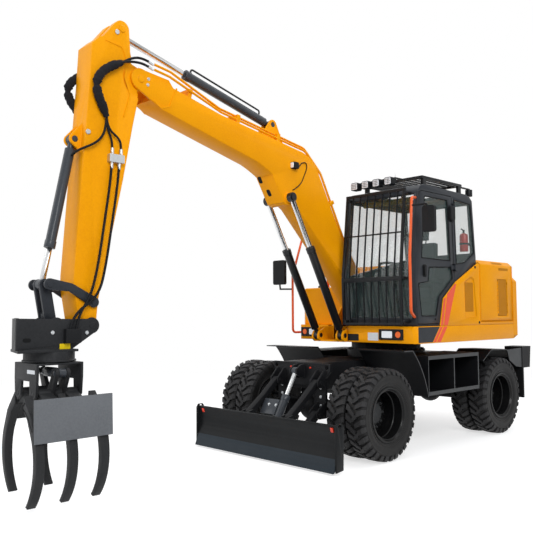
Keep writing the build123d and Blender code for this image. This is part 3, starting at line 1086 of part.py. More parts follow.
jaws = (("jaw_near", 1, (-305.0, 0.0, 305.0), 345.0), ("jaw_far", -1, (-175.0, 175.0), 213.0))
for name, y_sign, offsets, beam_half_width in jaws:
    with BuildPart() as jaw:
        def turned(points):
            """Mirror outline points to this jaw's own side of the boom plane."""
            return [(boom_y + y_sign * y, z) for y, z in points]
        pivot, eye = turned((jaw_pivot, jaw_eye))
        back, tip, root = turned(tine_back), turned(tine_tip), turned(tine_root)
        bulge, hollow = turned((tine_bulge, tine_hollow))
        for x_offset in offsets:
            with BuildSketch(station(rotator_x + x_offset - tine_wall / 2)) as tine:
                with BuildLine():
                    Polyline(*root, *back)
                    ThreePointArc(back[-1], bulge, tip[0])
                    Line(*tip)
                    ThreePointArc(tip[-1], hollow, root[0])
                make_face()
            extrude(tine.sketch, amount=tine_wall)
            if name == "jaw_near":
                station_plate(turned(jaw_gusset), rotator_x + x_offset - jaw_gusset_wall / 2,
                              rotator_x + x_offset + jaw_gusset_wall / 2)
        if name == "jaw_near":
            top, bottom, wall = jaw_plate["top"], jaw_plate["bottom"], jaw_plate["wall"]
            station_plate(turned((top, (top[0] + wall, top[1]), (bottom[0] + wall, bottom[1]), bottom)),
                          rotator_x - jaw_plate["half_width"], rotator_x + jaw_plate["half_width"])
        station_plate(turned(jaw_beam), rotator_x - beam_half_width, rotator_x + beam_half_width)
        long_disc(pivot, jaw_tube_radius, rotator_x - jaw_tube_reach, rotator_x + jaw_tube_reach)
        long_disc(pivot, jaw_pivot_radius, rotator_x - grab_half, rotator_x + grab_half)
        for x_low, x_high in ((-jaw_tube_reach, -60), (60, jaw_tube_reach)):
            station_plate(turned(jaw_arm), rotator_x + x_low, rotator_x + x_high)
        for x_low in (rotator_x - jaw_lever_half_width, rotator_x + eye_width / 2 + 3):
            with BuildSketch(station(x_low)) as lever:
                for centre, radius in ((pivot, jaw_tube_radius), (eye, 44)):
                    with Locations(centre):
                        Circle(radius)
                make_hull()
            extrude(lever.sketch, amount=jaw_lever_half_width - eye_width / 2 - 3)
        if y_sign > 0:
            long_disc(eye, jaw_pivot_radius + pin_play, rotator_x - 90, rotator_x + 90, Mode.SUBTRACT)
    finish(jaw.part, name)

with BuildPart() as grab_barrel:
    eye_y, eye_z = boom_y + jaw_eye[0], jaw_eye[1]
    long_disc((eye_y, eye_z), 40, rotator_x - eye_width / 2, rotator_x + eye_width / 2)
    long_disc((eye_y, eye_z), jaw_pivot_radius, rotator_x - jaw_lever_half_width, rotator_x + jaw_lever_half_width)
    for radius, near, far in ((30, 0, 110), (grab_barrel_radius, 105, grab_barrel_length)):
        with BuildSketch(Plane(origin=(axle_middle_x + rotator_x, eye_y - near, eye_z), x_dir=(1, 0, 0),
                               z_dir=(0, -1, 0))) as section:
            Circle(radius)
        extrude(section.sketch, amount=far - near)
    with BuildSketch(Plane(origin=(axle_middle_x + rotator_x, eye_y - 50, eye_z), x_dir=(1, 0, 0),
                           z_dir=(0, -1, 0))) as section:
        Circle(grab_rod_radius + slide_play)
    extrude(section.sketch, amount=grab_barrel_length - 49, mode=Mode.SUBTRACT)
finish(grab_barrel.part, "grab_ram_barrel")
with BuildPart() as grab_rod:
    with BuildSketch(Plane(origin=(axle_middle_x + rotator_x, eye_y - 200, eye_z), x_dir=(1, 0, 0),
                           z_dir=(0, -1, 0))) as section:
        Circle(grab_rod_radius)
    extrude(section.sketch, amount=2 * jaw_eye[0] - 200)
    long_disc((boom_y - jaw_eye[0], eye_z), 38, rotator_x - eye_width / 2, rotator_x + eye_width / 2)
finish(grab_rod.part, "grab_ram_rod")
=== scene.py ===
"""Looks of a wheeled excavator with a timber grab, a dozer blade and guards round its cab.

Metres, +X forward, +Y to the machine's left (the cab side), +Z up. Places along the machine are stations,
counted from the middle between the axles, and at() carries them to the model's own origin.
"""
import json
import logging
import math
from dataclasses import dataclass
from enum import Enum
from typing import Callable, Iterable, Optional, Sequence

import bmesh
import bpy
from mathutils import Matrix, Vector

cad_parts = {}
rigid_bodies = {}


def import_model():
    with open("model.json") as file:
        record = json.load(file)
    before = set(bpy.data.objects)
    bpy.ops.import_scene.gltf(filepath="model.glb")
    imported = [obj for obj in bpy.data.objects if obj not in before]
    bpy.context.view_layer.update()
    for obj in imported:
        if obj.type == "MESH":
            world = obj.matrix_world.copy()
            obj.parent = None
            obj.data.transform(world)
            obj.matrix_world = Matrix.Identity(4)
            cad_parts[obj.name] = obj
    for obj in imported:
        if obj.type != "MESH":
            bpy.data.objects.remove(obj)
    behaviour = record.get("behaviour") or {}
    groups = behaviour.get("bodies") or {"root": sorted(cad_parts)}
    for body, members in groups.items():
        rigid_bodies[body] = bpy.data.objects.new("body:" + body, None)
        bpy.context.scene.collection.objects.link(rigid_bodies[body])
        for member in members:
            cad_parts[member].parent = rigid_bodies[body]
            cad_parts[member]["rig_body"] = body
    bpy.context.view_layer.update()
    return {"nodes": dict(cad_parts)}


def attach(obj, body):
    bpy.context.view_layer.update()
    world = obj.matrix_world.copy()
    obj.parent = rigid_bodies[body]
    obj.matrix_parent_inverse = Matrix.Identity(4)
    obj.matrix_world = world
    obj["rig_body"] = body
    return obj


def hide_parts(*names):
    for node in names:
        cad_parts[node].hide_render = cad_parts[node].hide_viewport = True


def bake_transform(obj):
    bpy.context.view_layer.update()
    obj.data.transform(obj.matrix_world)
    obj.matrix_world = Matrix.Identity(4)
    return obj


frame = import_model()
LOG = logging.getLogger("excavator")

AXLE_MIDDLE_X = -1.492
HALF_WHEELBASE = 1.310
BOOM_Y = -0.080
FULL_TURN = 2 * math.pi
MERGE_ANGLE = math.radians(0.6)
MERGE_REACH = 2e-5
EDGE_ANGLE = 38.0
FACING_LEAST = 0.7
WINDOWED = ("cab_shell", "door")
AHEAD = (1.0, 0.0, 0.0)
BEHIND = (-1.0, 0.0, 0.0)
LEFT = (0.0, 1.0, 0.0)
UP = (0.0, 0.0, 1.0)
WHITE = (1.0, 1.0, 1.0, 1.0)
HANDS = ((1, "left"), (-1, "right"))
FACES = ((1, "near"), (-1, "far"))

Point2 = tuple[float, float]
Point3 = tuple[float, float, float]
Colour = tuple[float, float, float, float]
PadSize = tuple[float, float, float, float]


def at(x: float, y: float, z: float) -> Vector:
    """Return the point of the model at a station, with its y and its height."""
    return Vector((x + AXLE_MIDDLE_X, y, z))


def sided(y: float, side: int) -> float:
    """Return a place on the boom's left for side 1, and its mirror image on the boom's right for side -1."""
    return y if side > 0 else 2 * BOOM_Y - y


def mirrored(low: Point3, high: Point3, side: int) -> tuple[Point3, Point3]:
    """Return a box's corners on the left for side 1, and its mirror image's on the right for side -1."""
    start, end = sorted((side * low[1], side * high[1]))
    return (low[0], start, low[2]), (high[0], end, high[2])


def spot(point: Point3, outward: Point3, upward: Point3 = UP) -> Matrix:
    """Return the frame of a spot on a surface: its z points out of it, and its y as far up as it can."""
    out = Vector(outward).normalized()
    across = Vector(upward).cross(out).normalized()
    return Matrix.Translation(at(*point)) @ Matrix((across, out.cross(across), out)).transposed().to_4x4()


def linear(colour: str) -> Colour:
    """Return the linear colour of a web colour such as f5a81c."""
    parts = [int(colour[index:index + 2], 16) / 255 for index in (0, 2, 4)]
    return (*[part / 12.92 if part <= 0.04045 else ((part + 0.055) / 1.055) ** 2.4 for part in parts], 1.0)


def worked_out(tree: bpy.types.NodeTree, operation: str, first: bpy.types.NodeSocket,
               second: bpy.types.NodeSocket) -> bpy.types.NodeSocket:
    """Return the result of an operation on two values."""
    node = tree.nodes.new("ShaderNodeMath")
    node.operation = operation
    tree.links.new(first, node.inputs[0])
    tree.links.new(second, node.inputs[1])
    return node.outputs["Value"]


def ranged(tree: bpy.types.NodeTree, value: bpy.types.NodeSocket, given: Point2,
           wanted: Point2 = (0.0, 1.0)) -> bpy.types.NodeSocket:
    """Return a value carried from a given range to a wanted one, and held inside it."""
    node = tree.nodes.new("ShaderNodeMapRange")
    for name, limit in zip(("From Min", "From Max", "To Min", "To Max"), (*given, *wanted)):
        node.inputs[name].default_value = limit
    tree.links.new(value, node.inputs["Value"])
    return node.outputs["Result"]


class Repeat(Enum):
    """How copies of a unit are set out."""

    AROUND = "around"
    ALONG = "along"


class Grain(Enum):
    """The kind of fine relief that a finish has."""

    SPRAYED = "sprayed"
    MOULDED = "moulded"
    WOVEN = "woven"
    BRUSHED = "brushed"
    SMOOTH = "smooth"


@dataclass(frozen=True)
class Finish:
    """A paint, rubber, metal, cloth or glass, as its shader is built.

    Args:
        name: the finish's plain name.
        slot: the record's material slot it stands for; it is not used.
        colour: the main colour, as a web colour.
        shade: the colour that its slow mottling moves towards.
        roughness: the middle roughness.
        metallic: 1 for bare metal.
        coat: the weight of a clear coat.
        grain: the kind of fine relief.
        relief: the height of the fine relief, in metres.
        dust: how much pale road dust gathers low down, from 0 to 1.
        glow: the strength of the light it gives off.
        alpha: how much of what is behind it it hides.
        specular: the level of its plain reflections.
    """

    name: str
    slot: str
    colour: str
    shade: str
    roughness: float
    metallic: float = 0.0
    coat: float = 0.0
    grain: Grain = Grain.SPRAYED
    relief: float = 0.0004
    dust: float = 0.0
    glow: float = 0.0
    alpha: float = 1.0
    specular: float = 0.14

    # The noises, each as cells in a metre and detail: of the gloss, the slow and fine mottling and the dust.
    gloss_noise = (9.0, 3.0)
    slow_noise = (2.3, 4.0)
    fine_noise = (60.0, 2.0)
    dust_noise = (5.0, 6.0)
    relief_scale = {Grain.MOULDED: 420.0, Grain.SPRAYED: 160.0}
    weave_scale = 120.0
    weave_bend = 2.0
    brushing = (12.0, 500.0, 12.0)
    dust_colour = "84807a"
    dust_top = 1.5
    coat_roughness = 0.12
    bump_strength = 0.35
    brushed_strength = 0.1

    def material(self) -> bpy.types.Material:
        """Return the finish's material, built at its first use."""
        known = bpy.data.materials.get(f"{self.name}_finish")
        return known if known is not None else self._build()

    def _build(self) -> bpy.types.Material:
        """Build the node tree: mottled colour, dust below, uneven gloss and fine relief."""
        material = bpy.data.materials.new(f"{self.name}_finish")
        material.use_nodes = True
        tree = material.node_tree
        shader = tree.nodes["Principled BSDF"]
        place = tree.nodes.new("ShaderNodeTexCoord").outputs["Object"]
        shader.inputs["Metallic"].default_value = self.metallic
        shader.inputs["Coat Weight"].default_value = self.coat
        shader.inputs["Specular IOR Level"].default_value = self.specular
        shader.inputs["Coat Roughness"].default_value = self.coat_roughness
        shader.inputs["Alpha"].default_value = self.alpha
        colour = self._mottle(tree, place)
        if self.dust:
            colour = self._dusted(tree, place, colour)
        tree.links.new(colour, shader.inputs["Base Color"])
        if self.glow:
            tree.links.new(colour, shader.inputs["Emission Color"])
            shader.inputs["Emission Strength"].default_value = self.glow
        spread = (max(0.02, self.roughness - 0.06), min(1.0, self.roughness + 0.08))
        gloss = ranged(tree, self._noise(tree, place, *self.gloss_noise), (0.0, 1.0), spread)
        tree.links.new(gloss, shader.inputs["Roughness"])
        if self.grain is not Grain.SMOOTH:
            bump = tree.nodes.new("ShaderNodeBump")
            strength = self.brushed_strength if self.grain is Grain.BRUSHED else self.bump_strength
            bump.inputs["Strength"].default_value = strength
            bump.inputs["Distance"].default_value = self.relief
            tree.links.new(self._relief(tree, place), bump.inputs["Height"])
            tree.links.new(bump.outputs["Normal"], shader.inputs["Normal"])
        return material

    def _noise(self, tree: bpy.types.NodeTree, place: bpy.types.NodeSocket, scale: float,
               detail: float) -> bpy.types.NodeSocket:
        """Add a noise at a number of cells in a metre and return its value."""
        noise = tree.nodes.new("ShaderNodeTexNoise")
        noise.inputs["Scale"].default_value = scale
        noise.inputs["Detail"].default_value = detail
        tree.links.new(place, noise.inputs["Vector"])
        return noise.outputs["Fac"]

    def _mix(self, tree: bpy.types.NodeTree, share: bpy.types.NodeSocket, low: object,
             high: object) -> bpy.types.NodeSocket:
        """Mix two colours, each a socket or a linear colour, and return the result."""
        mix = tree.nodes.new("ShaderNodeMix")
        mix.data_type = "RGBA"
        tree.links.new(share, mix.inputs["Factor"])
        for name, value in (("A", low), ("B", high)):
            socket = next(item for item in mix.inputs if item.name == name and item.type == "RGBA")
            if isinstance(value, bpy.types.NodeSocket):
                tree.links.new(value, socket)
            else:
                socket.default_value = value
        return next(item for item in mix.outputs if item.type == "RGBA")

    def _mottle(self, tree: bpy.types.NodeTree, place: bpy.types.NodeSocket) -> bpy.types.NodeSocket:
        """Return the main colour, moved towards the shade by a slow and a fine noise."""
        slow, fine = (self._noise(tree, place, *noise) for noise in (self.slow_noise, self.fine_noise))
        share = ranged(tree, worked_out(tree, "MULTIPLY", slow, fine), (0.12, 0.42))
        return self._mix(tree, share, linear(self.colour), linear(self.shade))

    def _dusted(self, tree: bpy.types.NodeTree, place: bpy.types.NodeSocket,
                colour: bpy.types.NodeSocket) -> bpy.types.NodeSocket:
        """Return the colour with pale dust that thickens towards the ground."""
        parts = tree.nodes.new("ShaderNodeSeparateXYZ")
        tree.links.new(place, parts.inputs["Vector"])
        depth = ranged(tree, parts.outputs["Z"], (self.dust_top, 0.0), (0.0, self.dust))
        share = worked_out(tree, "MULTIPLY", depth, self._noise(tree, place, *self.dust_noise))
        return self._mix(tree, share, colour, linear(self.dust_colour))

    def _relief(self, tree: bpy.types.NodeTree, place: bpy.types.NodeSocket) -> bpy.types.NodeSocket:
        """Return the height of the fine relief of this finish's grain."""
        if self.grain is Grain.WOVEN:
            wave = tree.nodes.new("ShaderNodeTexWave")
            wave.bands_direction = "DIAGONAL"
            wave.inputs["Scale"].default_value = self.weave_scale
            wave.inputs["Distortion"].default_value = self.weave_bend
            tree.links.new(place, wave.inputs["Vector"])
            return wave.outputs["Fac"]
        if self.grain is Grain.BRUSHED:
            stretch = tree.nodes.new("ShaderNodeMapping")
            stretch.inputs["Scale"].default_value = self.brushing
            tree.links.new(place, stretch.inputs["Vector"])
            return self._noise(tree, stretch.outputs["Vector"], 1.0, 2.0)
        return self._noise(tree, place, self.relief_scale[self.grain], 2.0)


AMBER = Finish("amber_paint", "amber_paint", "f8a502", "f09b02", 0.38, dust=0.03, specular=0.1)
CHARCOAL = Finish("charcoal_paint", "dark_paint", "2e3136", "282b30", 0.42, coat=0.06, dust=0.06)
CHASSIS = Finish("chassis_paint", "black_paint", "131417", "0f1013", 0.5, dust=0.04)
BLADE_STEEL = Finish("blade_paint", "grey_paint", "16181a", "111315", 0.42, dust=0.02, specular=0.12)
GUARD_BLACK = Finish("guard_paint", "black_paint", "16181b", "111316", 0.42, specular=0.2)
SLATE = Finish("slate_paint", "grey_paint", "2a3239", "242c33", 0.44, dust=0.02)
TOOL_GREY = Finish("tool_paint", "grey_paint", "2b2c2e", "232426", 0.5, dust=0.06)
PLATE_GREY = Finish("jaw_plate_paint", "grey_paint", "6f7276", "65686c", 0.5, dust=0.03)
RIM_BLACK = Finish("rim_paint", "black_paint", "0c0d0f", "08090b", 0.34, coat=0.1, dust=0.04)
LIP_GREY = Finish("lip_paint", "grey_paint", "4c4e50", "424446", 0.5, dust=0.2)
# The carcass and the lugs are one rubber. The carcass's darker colour is painted shade in the gaps between
# the blocks, and the lugs' lighter colour is partly wear and partly painted light on their tops.
SHADED_CARCASS_RUBBER = Finish("tyre_rubber", "tyre_rubber", "0d0d0e", "09090a", 0.55, grain=Grain.MOULDED, relief=0.0006,
                dust=0.03, specular=0.25)
LIT_WORN_LUG_RUBBER = Finish("lug_rubber_lit_and_worn", "tyre_rubber", "232325", "19191b", 0.6, grain=Grain.MOULDED, relief=0.001,
                    dust=0.05, specular=0.3)
CHROME = Finish("rod_chrome", "rod_chrome", "d9dadb", "cfd1d2", 0.14, metallic=1.0, grain=Grain.SMOOTH)
ZINC = Finish("zinc_steel", "rod_chrome", "c9ccce", "b7babd", 0.36, metallic=0.85, grain=Grain.BRUSHED,
              relief=0.0001)
CYLINDER_BLACK = Finish("cylinder_black", "black_paint", "1a1b1e", "151619", 0.36, coat=0.3)
CYLINDER_GREY = Finish("cylinder_grey", "dark_paint", "3c4046", "34383d", 0.4, coat=0.25)
HOSE = Finish("hose_rubber", "trim", "17181b", "121315", 0.6, grain=Grain.WOVEN, relief=0.0004)
SLEEVE = Finish("hose_sleeve", "trim", "26262a", "1b1b1e", 0.92, grain=Grain.WOVEN, relief=0.0015)
RAIL_ORANGE = Finish("rail_orange", "rail_paint", "f0642c", "e65a24", 0.36, coat=0.35)
STRIPE_ORANGE = Finish("stripe_orange", "rail_paint", "f2552f", "ea4e28", 0.35, coat=0.3)
PLASTIC = Finish("black_plastic", "trim", "1c1d1f", "17181a", 0.55, grain=Grain.MOULDED, relief=0.0006)
# Black rubber for the seals, plugs, flaps and levers; on the slots and the hand holes its dark pads are
# painted shade for the inside of the holes.
SEAL_AND_HOLE_SHADE = Finish("rubber_seal_and_hole_shade", "trim", "131415", "0f1011", 0.7, grain=Grain.MOULDED)
CAST = Finish("cast_steel", "cast", "3a3c3e", "313335", 0.58, grain=Grain.MOULDED, relief=0.0015, dust=0.2)
GLASS = Finish("cab_glass", "glass", "5c7670", "667f79", 0.03, grain=Grain.SMOOTH, coat=1.0, alpha=0.14,
               specular=1.0)
MIRROR = Finish("mirror_glass", "glass", "9fa8b0", "98a1a9", 0.04, metallic=1.0, grain=Grain.SMOOTH)
LENS = Finish("lamp_lens", "glass", "e9edf2", "dfe4ea", 0.12, grain=Grain.MOULDED, relief=0.002, coat=0.6,
              glow=0.15)
AMBER_LENS = Finish("amber_lens", "glass", "e8641a", "dc5a12", 0.16, coat=0.6, glow=0.15)
RED_LENS = Finish("red_lens", "glass", "e03414", "d62c0e", 0.16, coat=0.6, glow=0.12)
WHITE_PLATE = Finish("white_plate", "trim", "dfe2e6", "d6d9dd", 0.4)
YELLOW_PLATE = Finish("yellow_plate", "trim", "f2d21c", "e8c814", 0.45)
CLOTH = Finish("seat_cloth", "seat_fabric", "2f3338", "272a2f", 0.9, grain=Grain.WOVEN, relief=0.0003)
SHADE_CLOTH = Finish("shade_cloth", "seat_fabric", "6b6034", "5e542c", 0.9, grain=Grain.WOVEN, relief=0.0008)
MESH_AMBER = Finish("mesh_paint", "amber_paint", "c8820f", "b5740c", 0.6, grain=Grain.WOVEN, relief=0.002)
EXTINGUISHER_RED = Finish("extinguisher_red", "rail_paint", "b3201c", "a61a16", 0.3, coat=0.5)


class Draft:
    """A mesh in the making, put together from closed shells."""

    weld_reach = 1e-6
    pad_root = 0.002
    pad_ease = 0.3
    corner_steps = 4

    def __init__(self) -> None:
        """Start an empty mesh."""
        self.mesh = bmesh.new()

    def loft(self, rings: Sequence[Sequence[Vector]], closed: bool = False) -> "Draft":
        """Join rings of equal length with faces, and cap the two ends.

        Args:
            rings: the rings in order, each a list of points.
            closed: whether the last ring joins the first, which leaves no ends to cap.

        Returns:
            This draft.
        """
        made = [[self.mesh.verts.new(point) for point in ring] for ring in rings]
        count = len(made[0])
        pairs = list(zip(made, made[1:])) + ([(made[-1], made[0])] if closed else [])
        for low, high in pairs:
            for index in range(count):
                after = (index + 1) % count
                self.mesh.faces.new((low[index], low[after], high[after], high[index]))
        if not closed:
            self.mesh.faces.new(list(reversed(made[0])))
            self.mesh.faces.new(made[-1])
        return self

    def box(self, low: Point3, high: Point3) -> "Draft":
        """Add a box between two corners, given at stations."""
        x0, y0, z0 = low
        x1, y1, z1 = high
        rings = [[at(x0, y0, z), at(x1, y0, z), at(x1, y1, z), at(x0, y1, z)] for z in (z0, z1)]
        return self.loft(rings)

    def plate(self, outline: Sequence[Point2], low: float, high: float) -> "Draft":
        """Add an outline seen from the side, at stations, pulled across the machine from low to high."""
        return self.loft([[at(x, y, z) for x, z in outline] for y in (low, high)])

    def bar(self, start: Vector, end: Vector, radius: float, sides: int = 16) -> "Draft":
        """Add a round bar from start to end."""
        return self.tube([start, end], radius, sides)

    def tube(self, path: Sequence[Vector], radii: Sequence[float] | float, sides: int = 12) -> "Draft":
        """Add a tube along a path, with one radius or a radius for each of its points."""
        sizes = [radii] * len(path) if isinstance(radii, float) else list(radii)
        return self.loft(self._rings(path, sizes, sides))

    def _rings(self, path: Sequence[Vector], radii: Sequence[float], sides: int) -> list[list[Vector]]:
        """Return the rings of a tube that doesn't twist on its path."""
        rings = []
        across: Optional[Vector] = None
        for index, point in enumerate(path):
            ahead = path[min(index + 1, len(path) - 1)] - path[max(index - 1, 0)]
            along = ahead.normalized()
            if across is None:
                across = along.orthogonal().normalized()
            across = (across - along * across.dot(along)).normalized()
            other = along.cross(across)
            turns = [FULL_TURN * step / sides for step in range(sides)]
            rings.append([point + radii[index] * (math.cos(turn) * across + math.sin(turn) * other)
                          for turn in turns])
        return rings

    def lathe(self, profile: Sequence[Point2], centre: Vector, segments: int = 64) -> "Draft":
        """Turn a closed profile of (radius, offset) points about the line through centre along Y."""
        return self._turned(profile, centre, segments, lambda a, b, offset: Vector((a, offset, b)))

    def upright(self, profile: Sequence[Point2], centre: Vector, segments: int = 48) -> "Draft":
        """Turn a closed profile of (radius, height) points about the upright line through centre."""
        return self._turned(profile, centre, segments, lambda a, b, height: Vector((a, b, height)))

    def _turned(self, profile: Sequence[Point2], centre: Vector, segments: int,
                place: Callable[[float, float, float], Vector]) -> "Draft":
        """Turn a closed profile, with each point placed from its two ways out and its offset."""
        turns = [FULL_TURN * step / segments for step in range(segments)]
        return self.loft([[centre + place(radius * math.cos(turn), radius * math.sin(turn), offset)
                           for radius, offset in profile] for turn in turns], closed=True)

    def pad(self, place: Matrix, width: float, height: float, depth: float, corner: float = 0.004) -> "Draft":
        """Add a rounded plate that sits on a spot, with its front edge eased.

        Args:
            place: the frame of the spot, as spot() returns it.
            width: the size across.
            height: the size upwards.
            depth: how far it stands out.
            corner: the radius of its corners.

        Returns:
            This draft.
        """
        ease = self.pad_ease * min(depth, corner)
        rings = []
        for out, inset in ((-self.pad_root, 0.0), (depth - ease, 0.0), (depth, ease)):
            radius = corner - inset
            ring = []
            for quarter, (x_sign, y_sign) in enumerate(((1, 1), (-1, 1), (-1, -1), (1, -1))):
                middle = Vector((x_sign * (width / 2 - corner), y_sign * (height / 2 - corner), out))
                for step in range(self.corner_steps + 1):
                    turn = math.pi / 2 * (quarter + step / self.corner_steps)
                    ring.append(place @ (middle + radius * Vector((math.cos(turn), math.sin(turn), 0.0))))
            rings.append(ring)
        return self.loft(rings)

    def object(self, name: str, finish: Finish, bevel: float = 0.0, smooth: float = 32.0) -> bpy.types.Object:
        """Finish the draft as an object.

        Args:
            name: the object's name.
            finish: what it is made of.
            bevel: the width of its rounded edges, or 0 for none.
            smooth: the angle in degrees above which an edge stays sharp.

        Returns:
            The new object, which rides on nothing yet.
        """
        bmesh.ops.remove_doubles(self.mesh, verts=self.mesh.verts, dist=self.weld_reach)
        bmesh.ops.recalc_face_normals(self.mesh, faces=self.mesh.faces)
        mesh = bpy.data.meshes.new(name)
        self.mesh.to_mesh(mesh)
        self.mesh.free()
        return shown(mesh, name, finish, bevel, smooth)


def shown(mesh: bpy.types.Mesh, name: str, finish: Finish, bevel: float, smooth: float) -> bpy.types.Object:
    """Link a mesh as an object with its finish, its shading and its rounded edges, and return the object."""
    obj = bpy.data.objects.new(name, mesh)
    bpy.context.scene.collection.objects.link(obj)
    mesh.materials.clear()
    mesh.materials.append(finish.material())
    mesh.shade_smooth()
    if bevel:
        rounding = obj.modifiers.new("rounding", "BEVEL")
        rounding.width = bevel
        rounding.segments = 2
        rounding.limit_method = "ANGLE"
        rounding.angle_limit = math.radians(smooth)
        rounding.use_clamp_overlap = False
        rounding.harden_normals = True
    else:
        mesh.set_sharp_from_angle(angle=math.radians(smooth))
    return obj


def settle(obj: bpy.types.Object, body: str,
           stands_for: Iterable[str] = ()) -> bpy.types.Object:
    """Let a piece ride on a body, hide the nodes that it stands for, report it and return it."""
    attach(obj, body)
    for node in stands_for:
        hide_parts(node)
    LOG.info("%s rides on %s", obj.name, body)
    return obj


def repeat_tree(kind: Repeat) -> bpy.types.NodeTree:
    """Return the Geometry Nodes tree that repeats a unit round a line or along one.

    Its inputs are Copies, Centre (the start of the copies), Turn (the axis for copies around), Step (the way
    from one copy to the next for copies along) and Finish.
    """
    known = bpy.data.node_groups.get(f"repeat_{kind.value}")
    if known is not None:
        return known
    tree = bpy.data.node_groups.new(f"repeat_{kind.value}", "GeometryNodeTree")
    face = tree.interface
    for name, kind_of_socket in (("Geometry", "Geometry"), ("Copies", "Int"), ("Centre", "Vector"),
                                 ("Turn", "Vector"), ("Step", "Vector"), ("Finish", "Material")):
        face.new_socket(name, in_out="INPUT", socket_type=f"NodeSocket{kind_of_socket}")
    face.new_socket("Geometry", in_out="OUTPUT", socket_type="NodeSocketGeometry")
    nodes, links = tree.nodes, tree.links
    given, made = nodes.new("NodeGroupInput"), nodes.new("NodeGroupOutput")
    line = nodes.new("GeometryNodeMeshLine")
    links.new(given.outputs["Copies"], line.inputs["Count"])
    links.new(given.outputs["Centre"], line.inputs["Start Location"])
    links.new(given.outputs["Step"], line.inputs["Offset"])
    copies = nodes.new("GeometryNodeInstanceOnPoints")
    links.new(line.outputs["Mesh"], copies.inputs["Points"])
    links.new(given.outputs["Geometry"], copies.inputs["Instance"])
    if kind is Repeat.AROUND:
        share = nodes.new("ShaderNodeMath")
        share.operation = "DIVIDE"
        share.inputs[0].default_value = FULL_TURN
        links.new(given.outputs["Copies"], share.inputs[1])
        angle = nodes.new("ShaderNodeMath")
        angle.operation = "MULTIPLY"
        links.new(nodes.new("GeometryNodeInputIndex").outputs["Index"], angle.inputs[0])
        links.new(share.outputs["Value"], angle.inputs[1])
        turn = nodes.new("ShaderNodeVectorMath")
        turn.operation = "SCALE"
        links.new(given.outputs["Turn"], turn.inputs[0])
        links.new(angle.outputs["Value"], turn.inputs["Scale"])
        rotation = nodes.new("FunctionNodeEulerToRotation")
        links.new(turn.outputs["Vector"], rotation.inputs["Euler"])
        links.new(rotation.outputs["Rotation"], copies.inputs["Rotation"])
    real = nodes.new("GeometryNodeRealizeInstances")
    links.new(copies.outputs["Instances"], real.inputs["Geometry"])
    paint = nodes.new("GeometryNodeSetMaterial")
    links.new(real.outputs["Geometry"], paint.inputs["Geometry"])
    links.new(given.outputs["Finish"], paint.inputs["Material"])
    links.new(paint.outputs["Geometry"], made.inputs["Geometry"])
    return tree


def repeated(unit: bpy.types.Object, finish: Finish, kind: Repeat, copies: int,
             centre: Sequence[float] = (0.0, 0.0, 0.0), turn: Point3 = LEFT,
             step: Point3 = (0.0, 0.0, 0.0)) -> bpy.types.Object:
    """Turn a unit into its copies, as one plain mesh.

    Args:
        unit: the object to repeat; for copies around, its mesh is drawn about the origin.
        finish: what the copies are made of.
        kind: whether the copies go round a centre or along a line.
        copies: how many there are.
        centre: where copies around have their centre.
        turn: the axis that copies around turn about.
        step: the way from one copy along to the next.

    Returns:
        The same object with its new mesh and no modifier.
    """
    tree = repeat_tree(kind)
    sockets = {item.name: item.identifier for item in tree.interface.items_tree
               if item.item_type == "SOCKET" and item.in_out == "INPUT"}
    pattern = unit.modifiers.new("pattern", "NODES")
    pattern.node_group = tree
    pattern[sockets["Copies"]] = copies
    pattern[sockets["Centre"]] = centre
    pattern[sockets["Turn"]] = turn
    pattern[sockets["Step"]] = step
    pattern[sockets["Finish"]] = finish.material()
    bpy.context.view_layer.update()
    solid = unit.evaluated_get(bpy.context.evaluated_depsgraph_get())
    mesh = bpy.data.meshes.new_from_object(solid)
    unit.modifiers.clear()
    unit.data = mesh
    return unit


def arcs(points: Sequence[Vector], radius: float, steps: int = 5) -> list[Vector]:
    """Return a bent pipe's path: straight runs with an arc of one radius at each corner."""
    most = 0.49
    path = [points[0]]
    for before, corner, after in zip(points, points[1:], points[2:]):
        way_in, way_out = (before - corner).normalized(), (after - corner).normalized()
        half = way_in.angle(way_out) / 2
        reach = min(radius / math.tan(half), most * (before - corner).length, most * (after - corner).length)
        start, end = corner + way_in * reach, corner + way_out * reach
        for step in range(steps + 1):
            share = step / steps
            bow = 2 * share * (1 - share)
            path.append(start * (1 - share) ** 2 + corner * bow + end * share ** 2)
    return path + [points[-1]]


def pipe(name: str, points: Sequence[Vector], radius: float, bend: float, finish: Finish, body: str,
         sides: int = 12) -> bpy.types.Object:
    """Build a bent pipe on a body and return it."""
    piece = Draft().tube(arcs(points, bend), radius, sides).object(name, finish)
    return settle(piece, body)


def repaint(piece: bpy.types.Object, finish: Finish, low: Point3, high: Point3,
            facing: Optional[Point3] = None) -> None:
    """Give another finish to the faces of a piece whose middles lie in a box.

    Args:
        piece: the piece.
        finish: the other finish.
        low: the box's low corner, at a station.
        high: its high corner.
        facing: a direction, when only the faces towards it are meant.
    """
    piece.data.materials.append(finish.material())
    number = len(piece.data.materials) - 1
    bottom, top = at(*low), at(*high)
    for face in piece.data.polygons:
        inside = all(bottom[axis] <= face.center[axis] <= top[axis] for axis in range(3))
        if inside and (facing is None or face.normal.dot(Vector(facing)) > FACING_LEAST):
            face.material_index = number


